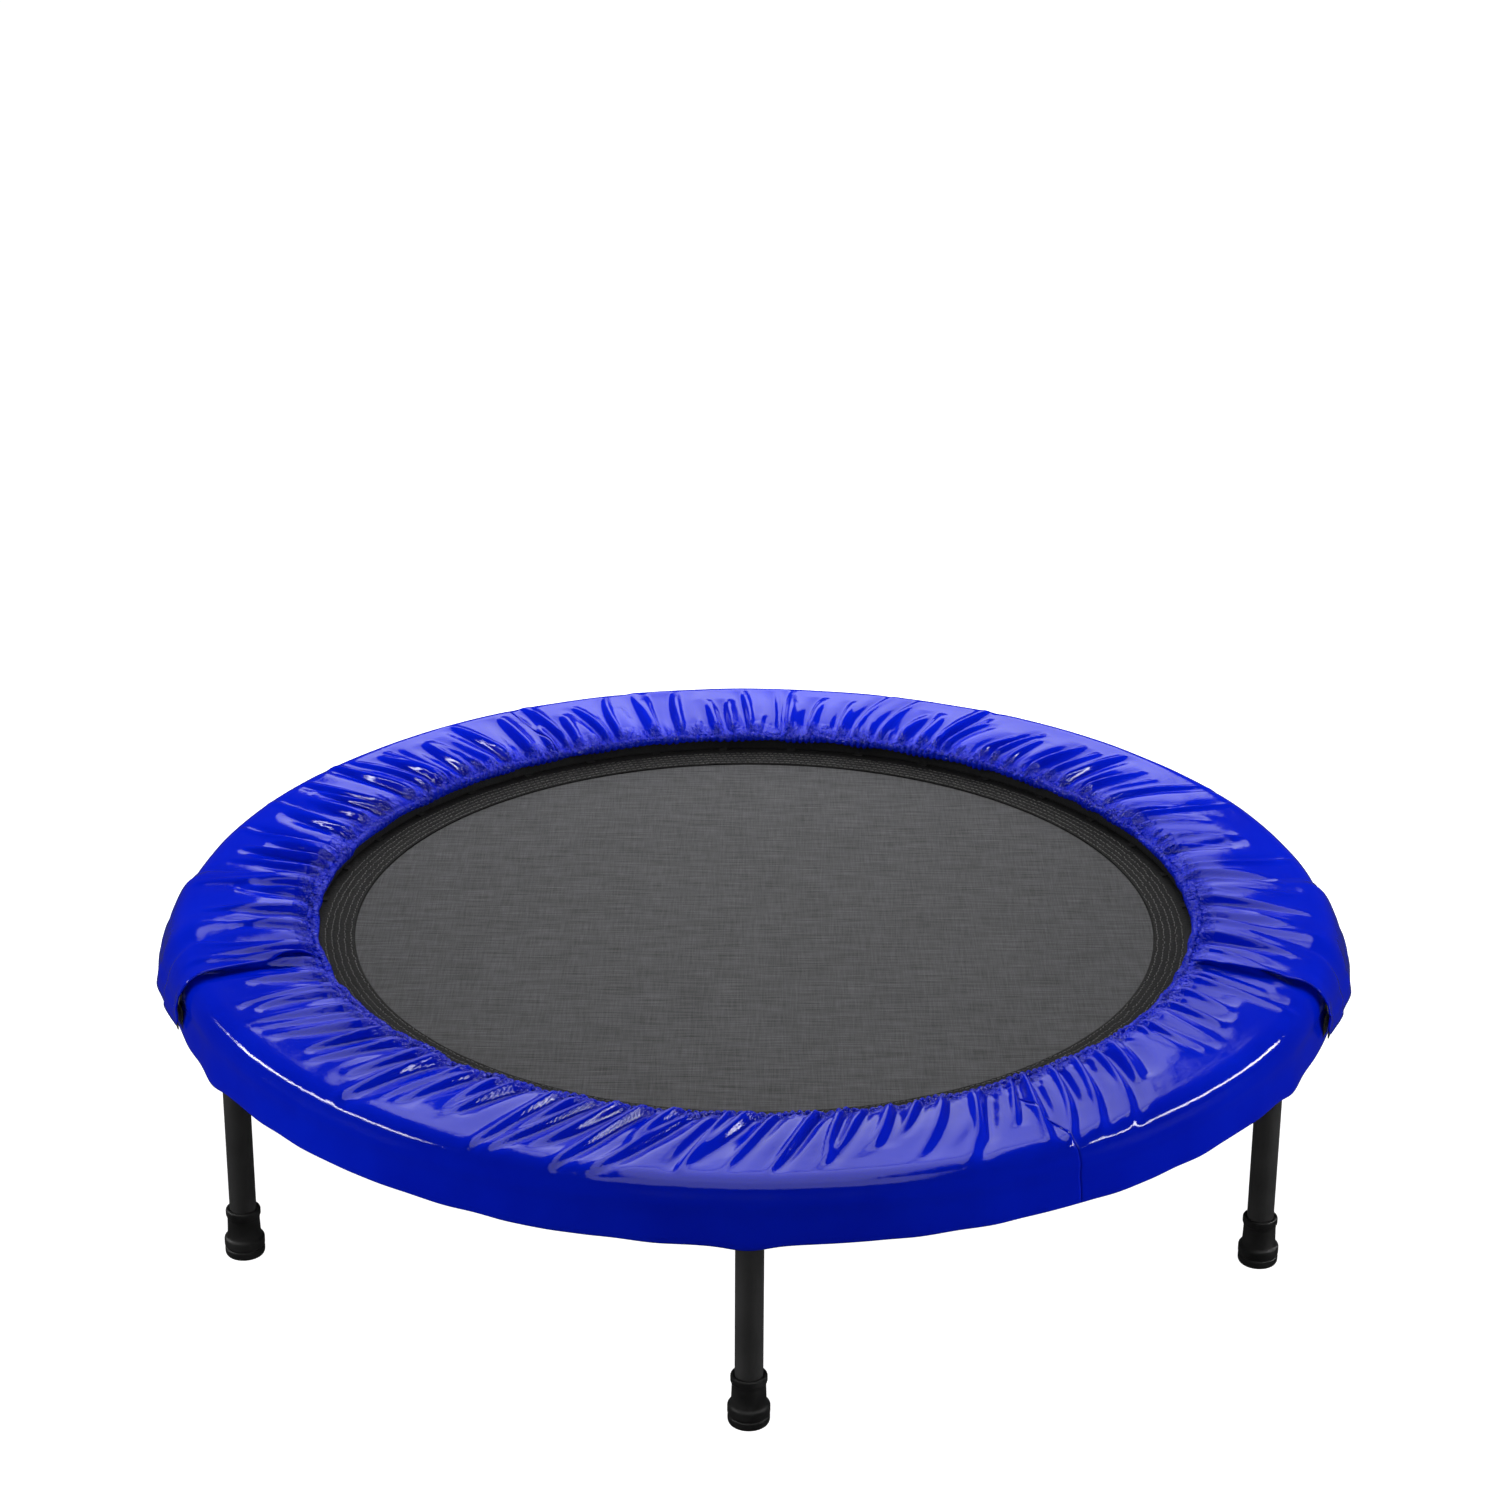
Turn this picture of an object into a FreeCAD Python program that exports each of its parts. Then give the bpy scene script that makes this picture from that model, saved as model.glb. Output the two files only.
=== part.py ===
import FreeCAD, Part
import os

import Sketcher

# Folding mini trampoline.  Millimetres, +Z up, origin on the floor under the centre of the ring.
# The frame ring is two half rings that fold about the X axis through two hinge brackets.
# "front" is the -Y half, "rear" the +Y half, "left" the -X side and "right" the +X side.

os.makedirs("parts", exist_ok=True)
doc = FreeCAD.newDocument("MiniTrampoline")

DIMENSIONS = {
    # frame ring
    "tube_circle": 490.0,  # radius of the ring's centreline
    "tube_z": 193.3,  # height of the ring's centreline
    "tube_radius": 12.7,
    "tube_wall": 1.2,
    "tube_end_gap": 0.6,  # degrees from the fold line to the end of each half ring
    "spring_hole": 3.0,  # radius
    # hinge brackets, measured from each bracket's own middle plane
    "hinge_x": 489.1,
    "pivot_z": 160.0,
    "plate": 2.0,
    "channel_width": 36.6,
    "channel_front": 36.0,  # from the pivot to each end
    "channel_rear": 30.0,
    "channel_end_z": 190.0,  # where the cheek starts to taper
    "channel_clear": 0.5,  # side play between the two brackets
    "yoke_length": 35.0,
    "yoke_top_z": 201.0,
    "lug_radius": 9.0,
    "lug_corner": 8.0,
    "pivot_radius": 4.0,
    "pivot_play": 0.05,
    "bolt_flats": 13.0,
    "bolt_head": 5.3,
    "nut_height": 7.0,
    "bolt_tip": 2.0,
    "washer_radius": 8.5,
    "washer_thick": 1.6,
    # legs
    "legs_per_half": 3.0,
    "leg_first": 30.0,  # degrees from the fold line
    "leg_span": 120.0,
    "leg_radius": 11.15,
    "leg_wall": 1.2,
    "leg_top_z": 175.9,
    "leg_bottom_z": 6.0,
    "collar_radius": 12.5,
    "collar_z": 176.0,
    "collar_top_z": 187.0,
    "stud_radius": 5.0,
    "stud_play": 0.05,
    "stud_length": 28.0,
    "insert_length": 30.0,
    "foot_radius": 16.8,
    "foot_ring_z": 17.0,
    "foot_neck_radius": 13.6,
    "foot_neck_z": 24.0,
    "foot_rim_radius": 14.2,
    "foot_rim_z": 40.0,
    "foot_top_z": 43.0,
    "foot_bevel": 1.0,
    # jumping mat, its sewn edge and the springs
    "mat_radius": 388.0,
    "mat_thick": 1.4,
    "mat_gap": 0.05,  # degrees from the fold line
    "webbing_inner": 350.0,
    "webbing_thick": 1.2,
    "ring_circle": 398.6,  # radius of the circle on which the wire rings lie
    "ring_major": 8.0,
    "ring_wire": 1.4,
    "loop_inner": 366.0,  # where the strap ends under the mat
    "loop_inner_top": 381.0,
    "loop_width": 8.0,
    "loop_play": 0.1,
    "loop_thick": 1.0,
    "loop_half_height": 2.3,
    "springs_per_half": 18.0,
    "spring_first": 5.0,  # degrees from the fold line
    "spring_span": 170.0,
    "spring_wire": 1.2,  # radius of the wire
    "spring_outer": 7.0,
    "spring_inner": 4.6,
    "spring_start": 415.0,
    "spring_pitch": 2.6,
    "spring_turns": 20.0,
    "eye_major": 5.5,
    "eye_centre": 409.4,
    "spring_tip": 482.5,
    "tip_height": 4.0,
    "tip_radius": 1.0,
    # padded cover over the springs
    "cover_inner": 380.0,
    "cover_outer": 508.0,
    "cover_top_z": 218.0,
    "cover_inner_top_z": 213.2,
    "cover_inner_low_z": 203.0,
    "cover_low_z": 174.0,
    "cover_rim": 8.0,  # width and height of the rounded rim
    "rim_bevel": 2.0,
    "skin": 1.0,
    "skin_gap": 0.4,
    "foam_inner": 390.0,
    "foam_wall_inner": 503.3,
    "foam_low_z": 206.4,
    "cover_gap": 0.1,  # degrees from the fold line
    "notch_x": 466.0,
    "notch_half": 44.0,
    "elastic_radius": 2.0,
    "inner_elastic_circle": 385.6,
    "inner_elastic_z": 207.6,
    "hem_elastic_circle": 505.8,
    "hem_elastic_z": 171.4,
    # flaps that close the cover over the hinge brackets
    "flap_front": 20.0,  # degrees from the fold line to the free edge
    "flap_rear": 5.0,  # degrees from the fold line to the seam
    "flap_inner": 386.0,
    "flap_inner_z": 214.8,
    "flap_shoulder": 500.0,
    "flap_shoulder_z": 219.4,
    "flap_corner": 511.0,
    "flap_corner_z": 215.0,
    "flap_hem": 517.0,
    "flap_hem_z": 170.0,
    "flap_lining": 3.5,
    "flap_skin": 0.9,
    "tab_angle": 3.0,
    "tab_overhang": 0.3,
    "tab_circle": 512.6,
    "tab_thick": 1.0,
    "tab_height": 16.0,
    "patch_thick": 0.8,
}

sheet = doc.addObject("Spreadsheet::Sheet", "Size")
for row, (alias, size) in enumerate(DIMENSIONS.items(), start=1):
    sheet.set(f"A{row}", alias)
    sheet.set(f"B{row}", str(size))
    sheet.setAlias(f"B{row}", alias)
doc.recompute()

FRONT, REAR = "-1", "1"
HALVES = {"front": FRONT, "rear": REAR}
SIDES = {"left": "-1", "right": "1"}
LEGS = {
    "front": ("front_left", "front", "front_right"),
    "rear": ("rear_right", "rear", "rear_left"),
}


def size_of(expression):
    """The number that an expression on the sheet comes to."""
    return float(sheet.evalExpression(expression))


def new_body(label, x="0", y="0", z="0", angle="0"):
    body = doc.addObject("PartDesign::Body", label)
    body.Label = label
    body.AllowCompound = True
    body.setExpression("Placement.Base.x", x)
    body.setExpression("Placement.Base.y", y)
    body.setExpression("Placement.Base.z", z)
    body.setExpression("Placement.Rotation.Angle", angle)
    return body


def origin_part(body, role):
    return next(o for o in body.Origin.OriginFeatures if o.Role == role)


def new_sketch(body, name, role):
    sketch = body.newObject("Sketcher::SketchObject", name)
    sketch.AttachmentSupport = [(origin_part(body, role), "")]
    sketch.MapMode = "FlatFace"
    return sketch


def bind(sketch, constraint, expression):
    index = sketch.addConstraint(constraint)
    sketch.setExpression(f"Constraints[{index}]", expression)


def add_polygon(sketch, points):
    """A closed outline whose corners are pairs of expressions."""
    corners = [FreeCAD.Vector(size_of(x), size_of(y), 0) for x, y in points]
    first = sketch.GeometryCount
    count = len(corners)
    for i in range(count):
        sketch.addGeometry(Part.LineSegment(corners[i], corners[(i + 1) % count]), False)
    for i in range(count):
        edge, following = first + i, first + (i + 1) % count
        sketch.addConstraint(Sketcher.Constraint("Coincident", edge, 2, following, 1))
    for i, (x, y) in enumerate(points):
        bind(sketch, Sketcher.Constraint("DistanceX", first + i, 1, corners[i].x), x)
        bind(sketch, Sketcher.Constraint("DistanceY", first + i, 1, corners[i].y), y)


def add_rectangle(sketch, x0, x1, y0, y1):
    add_polygon(sketch, [(x0, y0), (x1, y0), (x1, y1), (x0, y1)])


def add_circle(sketch, x, y, radius):
    centre = FreeCAD.Vector(size_of(x), size_of(y), 0)
    geometry = Part.Circle(centre, FreeCAD.Vector(0, 0, 1), size_of(radius))
    index = sketch.addGeometry(geometry, False)
    bind(sketch, Sketcher.Constraint("DistanceX", index, 3, centre.x), x)
    bind(sketch, Sketcher.Constraint("DistanceY", index, 3, centre.y), y)
    bind(sketch, Sketcher.Constraint("Radius", index, size_of(radius)), radius)


def revolve(body, sketch, angle="360", kind="Revolution", axis="V_Axis"):
    """Turns a sketch, half to each side of its plane."""
    feature = body.newObject(f"PartDesign::{kind}", f"{sketch.Name}_{kind}")
    feature.Profile = sketch
    feature.ReferenceAxis = (sketch, [axis])
    feature.Midplane = True
    feature.setExpression("Angle", angle)
    return feature


def pad(body, sketch, length, both_ways=False, reverse=False):
    feature = body.newObject("PartDesign::Pad", f"{sketch.Name}_Pad")
    feature.Profile = sketch
    feature.setExpression("Length", length)
    feature.SideType = "Symmetric" if both_ways else "One side"
    feature.Reversed = reverse
    return feature


def cut_through(body, sketch):
    """Cuts a sketch out of the body on both sides of its plane, and checks that it did."""
    doc.recompute()
    before = body.Shape.Volume
    feature = body.newObject("PartDesign::Pocket", f"{sketch.Name}_Pocket")
    feature.Profile = sketch
    feature.Type = "ThroughAll"
    feature.SideType = "Symmetric"
    doc.recompute()
    assert body.Shape.Volume < before, f"{sketch.Name} cuts nothing"
    return feature


def repeat_round(body, features, count, span):
    """Copies features round the Z axis, the last one span degrees on."""
    pattern = body.newObject("PartDesign::PolarPattern", f"{body.Name}_Pattern")
    pattern.Originals = features
    pattern.Axis = (origin_part(body, "Z_Axis"), [""])
    pattern.setExpression("Angle", span)
    pattern.setExpression("Occurrences", count)
    body.Tip = pattern
    return pattern


def half_ring(label, side, points, gap):
    """A profile of (radius, height) turned round Z through one half of the ring."""
    body = new_body(label)
    sketch = new_sketch(body, f"{label}_profile", "YZ_Plane")
    add_polygon(sketch, [(f"{side} * ({radius})", height) for radius, height in points])
    revolve(body, sketch, f"180 - 2 * {gap}")
    return body


def half_cord(label, side, circle, height, radius, gap):
    body = new_body(label)
    sketch = new_sketch(body, f"{label}_profile", "YZ_Plane")
    add_circle(sketch, f"{side} * {circle}", height, radius)
    revolve(body, sketch, f"180 - 2 * {gap}")
    return body


def half_angle(half, angle):
    """An angle from the start of a half of the ring, as an angle from +X anticlockwise."""
    return f"180 + {angle}" if half == "front" else angle


def frame_tube(half, side):
    label = f"frame_tube_{half}"
    body = new_body(label)
    section = new_sketch(body, f"{label}_section", "YZ_Plane")
    add_circle(section, f"{side} * Size.tube_circle", "Size.tube_z", "Size.tube_radius")
    bore = "Size.tube_radius - Size.tube_wall"
    add_circle(section, f"{side} * Size.tube_circle", "Size.tube_z", bore)
    revolve(body, section, "180 - 2 * Size.tube_end_gap")
    doc.recompute()
    solid_volume = body.Shape.Volume
    hole = new_sketch(body, f"{label}_spring_hole", "YZ_Plane")
    turn = FreeCAD.Rotation(FreeCAD.Vector(0, 1, 0), size_of(half_angle(half, "Size.spring_first")))
    hole.AttachmentOffset = FreeCAD.Placement(FreeCAD.Vector(0, 0, 0), turn)
    add_circle(hole, "0", "Size.tube_z", "Size.spring_hole")
    pocket = body.newObject("PartDesign::Pocket", f"{label}_hole")
    pocket.Profile = hole
    pocket.Reversed = True
    pocket.setExpression("Length", "Size.tube_circle")
    repeat_round(body, [pocket], "Size.springs_per_half", "Size.spring_span")
    doc.recompute()
    assert body.Shape.Volume < solid_volume, "the spring holes cut nothing"


def leg_mounts(half):
    """Three collars welded under the tube, each with the stud that its leg screws onto."""
    label = f"leg_mounts_{half}"
    body = new_body(label, angle=half_angle(half, "Size.leg_first"))
    collar_plan = new_sketch(body, f"{label}_collar", "XY_Plane")
    collar_plan.AttachmentOffset = FreeCAD.Placement(
        FreeCAD.Vector(0, 0, size_of("Size.collar_z")), FreeCAD.Rotation()
    )
    add_circle(collar_plan, "Size.tube_circle", "0", "Size.collar_radius")
    collar = pad(body, collar_plan, "Size.collar_top_z - Size.collar_z")
    seat_section = new_sketch(body, f"{label}_seat", "XZ_Plane")
    add_circle(seat_section, "Size.tube_circle", "Size.tube_z", "Size.tube_radius")
    seat = revolve(body, seat_section, "Size.collar_radius / 2", kind="Groove")
    stud_plan = new_sketch(body, f"{label}_stud", "XY_Plane")
    stud_plan.AttachmentOffset = collar_plan.AttachmentOffset
    add_circle(stud_plan, "Size.tube_circle", "0", "Size.stud_radius")
    stud = pad(body, stud_plan, "Size.stud_length", reverse=True)
    repeat_round(body, [collar, seat, stud], "Size.legs_per_half", "Size.leg_span")


def cheek_channel(label, side, cheek, width, hollows):
    """A folded plate: cheeks of one outline at each side of the middle plane, joined by a web."""
    body = new_body(label, x=f"{side} * Size.hinge_x")
    outline = new_sketch(body, f"{label}_cheek", "YZ_Plane")
    add_polygon(outline, cheek)
    pad(body, outline, width, both_ways=True)
    inside = new_sketch(body, f"{label}_inside", "XZ_Plane")
    half_gap = f"({width}) / 2 - Size.plate"
    for low, high in hollows:
        add_rectangle(inside, f"-({half_gap})", half_gap, low, high)
    cut_through(body, inside)
    bore = new_sketch(body, f"{label}_bore", "YZ_Plane")
    add_circle(bore, "0", "Size.pivot_z", "Size.pivot_radius + Size.pivot_play")
    cut_through(body, bore)
    round_lug(body)
    return body


def round_lug(body):
    """Rounds the two lower corners of each cheek round the pivot."""
    solid = body.Tip
    low = size_of("Size.pivot_z - Size.lug_radius")
    corners = [
        f"Edge{i}"
        for i, edge in enumerate(solid.Shape.Edges, start=1)
        if len(edge.Vertexes) == 2
        and abs(edge.Vertexes[0].Z - low) < 1e-6
        and abs(edge.Vertexes[1].Z - low) < 1e-6
        and abs(edge.Vertexes[0].Y - edge.Vertexes[1].Y) < 1e-6
    ]
    fillet = body.newObject("PartDesign::Fillet", f"{body.Name}_lug")
    fillet.Base = (solid, corners)
    fillet.setExpression("Radius", "Size.lug_corner")


def hinge_channel(name, side):
    """Inverted U welded over the front tube; the rear tube's end stops against its top."""
    top = "Size.tube_z + Size.tube_radius"
    lug_low = "Size.pivot_z - Size.lug_radius"
    cheek = [
        ("-Size.channel_front", f"{top} + Size.plate"),
        ("Size.channel_rear", f"{top} + Size.plate"),
        ("Size.channel_rear", "Size.channel_end_z"),
        ("Size.lug_radius", lug_low),
        ("-Size.lug_radius", lug_low),
        ("-Size.channel_front", "Size.channel_end_z"),
    ]
    hollow = [("Size.pivot_z - 2 * Size.lug_radius", top)]
    cheek_channel(f"hinge_channel_{name}", side, cheek, "Size.channel_width", hollow)


def hinge_yoke(name, side):
    """U welded under the rear tube, inside the channel, and turning on the same bolt."""
    tube_low = "Size.tube_z - Size.tube_radius"
    lug_low = "Size.pivot_z - Size.lug_radius"
    cheek = [
        ("-Size.lug_radius", lug_low),
        ("Size.lug_radius", lug_low),
        ("Size.yoke_length", f"{tube_low} - Size.plate - Size.plate"),
        ("Size.yoke_length", "Size.yoke_top_z"),
        ("Size.lug_radius / 2", "Size.yoke_top_z"),
        ("-Size.lug_radius", "Size.pivot_z + Size.lug_radius"),
    ]
    width = "Size.channel_width - 2 * Size.plate - 2 * Size.channel_clear"
    hollows = [
        ("Size.pivot_z - 2 * Size.lug_radius", f"{tube_low} - Size.plate"),
        (tube_low, "Size.yoke_top_z + Size.plate"),
    ]
    cheek_channel(f"hinge_yoke_{name}", side, cheek, width, hollows)


def add_hexagon(sketch, height, flats):
    """A hexagon about (0, height), with its flats on top and below."""
    apothem = f"({flats}) / 2"
    reach = f"{apothem} / cos(30)"
    corners = []
    for turn in range(6):
        across = f"{reach} * cos({60 * turn})"
        up = f"{height} + {reach} * sin({60 * turn})"
        corners.append((across, up))
    add_polygon(sketch, corners)


def pivot_hardware(name, side):
    """The bolt's head faces outwards; its nut is on the inner side of the ring."""
    cheek_face = "Size.channel_width / 2"
    head_face = f"{cheek_face} + Size.washer_thick"
    bolt = new_body(f"pivot_bolt_{name}", x=f"{side} * Size.hinge_x")
    shank_plan = new_sketch(bolt, f"pivot_bolt_{name}_shank", "YZ_Plane")
    add_circle(shank_plan, "0", "Size.pivot_z", "Size.pivot_radius")
    head_plan = new_sketch(bolt, f"pivot_bolt_{name}_head", "YZ_Plane")
    outward = float(side)
    head_plan.AttachmentOffset = FreeCAD.Placement(
        FreeCAD.Vector(0, 0, outward * size_of(head_face)), FreeCAD.Rotation()
    )
    add_hexagon(head_plan, "Size.pivot_z", "Size.bolt_flats")
    pad(bolt, head_plan, "Size.bolt_head", reverse=outward < 0)
    outer = pad(bolt, shank_plan, head_face, reverse=outward < 0)
    outer.SideType = "Two sides"
    outer.setExpression("Length2", f"{head_face} + Size.nut_height + Size.bolt_tip")

    nut = new_body(f"pivot_nut_{name}", x=f"{side} * Size.hinge_x")
    nut_plan = new_sketch(nut, f"pivot_nut_{name}_plan", "YZ_Plane")
    nut_plan.AttachmentOffset = FreeCAD.Placement(
        FreeCAD.Vector(0, 0, -outward * size_of(head_face)), FreeCAD.Rotation()
    )
    add_hexagon(nut_plan, "Size.pivot_z", "Size.bolt_flats")
    add_circle(nut_plan, "0", "Size.pivot_z", "Size.pivot_radius")
    pad(nut, nut_plan, "Size.nut_height", reverse=outward > 0)


def pivot_washers():
    body = new_body("pivot_washers")
    for name, side in SIDES.items():
        for place, direction in (("inner", "-1"), ("outer", "1")):
            label = f"pivot_washer_{name}_{place}"
            sketch = new_sketch(body, label, "YZ_Plane")
            middle = f"{side} * Size.hinge_x"
            offset = f"{direction} * (Size.channel_width + Size.washer_thick) / 2"
            plane = FreeCAD.Vector(0, 0, size_of(f"{middle} + {offset}"))
            sketch.AttachmentOffset = FreeCAD.Placement(plane, FreeCAD.Rotation())
            add_circle(sketch, "0", "Size.pivot_z", "Size.washer_radius")
            add_circle(sketch, "0", "Size.pivot_z", "Size.pivot_radius + Size.pivot_play")
            pad(body, sketch, "Size.washer_thick", both_ways=True)


def leg_piece(label, angle, points):
    """A piece turned about a leg's own axis."""
    x = f"Size.tube_circle * cos({angle})"
    y = f"Size.tube_circle * sin({angle})"
    body = new_body(label, x=x, y=y, angle=str(angle))
    sketch = new_sketch(body, f"{label}_profile", "XZ_Plane")
    add_polygon(sketch, points)
    revolve(body, sketch)
    return body


def leg(name, angle):
    bore = "Size.leg_radius - Size.leg_wall"
    thread = "Size.stud_radius + Size.stud_play"
    insert_low = "Size.leg_top_z - Size.insert_length"
    tube = [
        (bore, "Size.leg_bottom_z"),
        ("Size.leg_radius", "Size.leg_bottom_z"),
        ("Size.leg_radius", "Size.leg_top_z"),
        (bore, "Size.leg_top_z"),
    ]
    insert = [
        (thread, insert_low),
        (bore, insert_low),
        (bore, "Size.leg_top_z"),
        (thread, "Size.leg_top_z"),
    ]
    foot = [
        ("0", "0"),
        ("Size.foot_radius - Size.foot_bevel", "0"),
        ("Size.foot_radius", "Size.foot_bevel"),
        ("Size.foot_radius", "Size.foot_ring_z - Size.foot_bevel"),
        ("Size.foot_radius - Size.foot_bevel", "Size.foot_ring_z"),
        ("Size.foot_neck_radius", "Size.foot_neck_z"),
        ("Size.foot_rim_radius", "Size.foot_rim_z"),
        ("Size.foot_rim_radius", "Size.foot_top_z - Size.foot_bevel"),
        ("Size.foot_rim_radius - Size.foot_bevel", "Size.foot_top_z"),
        ("Size.leg_radius", "Size.foot_top_z"),
        ("Size.leg_radius", "Size.leg_bottom_z"),
        ("0", "Size.leg_bottom_z"),
    ]
    leg_piece(f"leg_tube_{name}", angle, tube)
    leg_piece(f"leg_insert_{name}", angle, insert)
    leg_piece(f"foot_{name}", angle, foot)


def mat(half, side):
    low = "Size.tube_z - Size.mat_thick / 2"
    top = "Size.tube_z + Size.mat_thick / 2"
    sheet_points = [
        ("0", low),
        ("Size.mat_radius", low),
        ("Size.mat_radius", top),
        ("0", top),
    ]
    half_ring(f"mat_{half}", side, sheet_points, "Size.mat_gap")
    edge_points = [
        ("Size.webbing_inner", top),
        ("Size.mat_radius", top),
        ("Size.mat_radius", f"{top} + Size.webbing_thick"),
        ("Size.webbing_inner", f"{top} + Size.webbing_thick"),
    ]
    half_ring(f"mat_edge_webbing_{half}", side, edge_points, "Size.mat_gap")


def wire_rings(half):
    """Round wire rings lying flat just outside the mat's edge, one for each spring."""
    body = new_body(f"wire_rings_{half}", z="Size.tube_z", angle=half_angle(half, "Size.spring_first"))
    doc.recompute()
    ring = body.newObject("PartDesign::AdditiveTorus", f"wire_ring_{half}")
    ring.setExpression("Radius1", "Size.ring_major")
    ring.setExpression("Radius2", "Size.ring_wire")
    ring.AttachmentSupport = [(origin_part(body, "XY_Plane"), "")]
    ring.MapMode = "FlatFace"
    ring.setExpression("AttachmentOffset.Base.x", "Size.ring_circle")
    repeat_round(body, [ring], "Size.springs_per_half", "Size.spring_span")


def ring_loops(half):
    """Straps folded round the mat's edge, each passing through its wire ring."""
    body = new_body(f"ring_loops_{half}", z="Size.tube_z", angle=half_angle(half, "Size.spring_first"))
    sketch = new_sketch(body, f"ring_loop_{half}", "XZ_Plane")
    inside = "Size.loop_half_height"
    outside = "Size.loop_half_height + Size.loop_thick"
    ring_inside = "(Size.ring_major - Size.ring_wire)"
    sagitta_side = f"sqrt({ring_inside} ^ 2 - (Size.loop_width / 2) ^ 2)"
    end = f"Size.ring_circle - {sagitta_side} + Size.loop_play"
    add_polygon(
        sketch,
        [
            ("Size.loop_inner", f"-({outside})"),
            (f"{end} + Size.loop_thick", f"-({outside})"),
            (f"{end} + Size.loop_thick", outside),
            ("Size.loop_inner_top", outside),
            ("Size.loop_inner_top", inside),
            (end, inside),
            (end, f"-{inside}"),
            ("Size.loop_inner", f"-{inside}"),
        ],
    )
    strap = pad(body, sketch, "Size.loop_width", both_ways=True)
    repeat_round(body, [strap], "Size.springs_per_half", "Size.spring_span")


def springs(half):
    """Close-wound springs as ridged sleeves, with an eye at the mat and a hooked tip at the tube."""
    body = new_body(f"springs_{half}", z="Size.tube_z", angle=half_angle(half, "Size.spring_first"))
    coil_section = new_sketch(body, f"spring_coil_{half}", "XZ_Plane")
    turns = int(size_of("Size.spring_turns"))
    end = "Size.spring_start + Size.spring_turns * Size.spring_pitch"
    bore_start = "Size.spring_start + Size.spring_pitch"
    bore_end = f"{end} - Size.spring_pitch"
    corners = [("Size.spring_start", "0")]
    for turn in range(turns):
        start = f"Size.spring_start + {turn} * Size.spring_pitch"
        corners.append((start, "Size.spring_outer - Size.spring_wire / 2"))
        corners.append((f"{start} + Size.spring_pitch / 2", "Size.spring_outer"))
    corners.append((end, "Size.spring_outer - Size.spring_wire / 2"))
    corners.append((end, "Size.spring_wire"))
    corners.append(("Size.spring_tip", "Size.spring_wire"))
    corners.append(("Size.spring_tip", "0"))
    corners.append((bore_end, "0"))
    corners.append((bore_end, "Size.spring_inner"))
    corners.append((bore_start, "Size.spring_inner"))
    corners.append((bore_start, "0"))
    add_polygon(coil_section, corners)
    coil = revolve(body, coil_section, axis="H_Axis")
    tip_plan = new_sketch(body, f"spring_tip_{half}", "XY_Plane")
    add_circle(tip_plan, "Size.spring_tip - Size.spring_wire", "0", "Size.tip_radius")
    tip = pad(body, tip_plan, "Size.tip_height")
    doc.recompute()
    eye = body.newObject("PartDesign::AdditiveTorus", f"spring_eye_{half}")
    eye.setExpression("Radius1", "Size.eye_major")
    eye.setExpression("Radius2", "Size.spring_wire")
    eye.AttachmentSupport = [(origin_part(body, "XZ_Plane"), "")]
    eye.MapMode = "FlatFace"
    eye.setExpression("AttachmentOffset.Base.x", "Size.eye_centre")
    originals = [coil, tip, eye]
    repeat_round(body, originals, "Size.springs_per_half", "Size.spring_span")


def notch(body, half, side):
    """Opens a cover piece round both hinge brackets."""
    sketch = new_sketch(body, f"{body.Name}_notch", "XY_Plane")
    far = "Size.cover_outer + Size.cover_rim"
    for across in SIDES.values():
        inner, outer = f"{across} * Size.notch_x", f"{across} * ({far})"
        add_rectangle(sketch, inner, outer, "0", f"{side} * Size.notch_half")
    cut_through(body, sketch)


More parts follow.
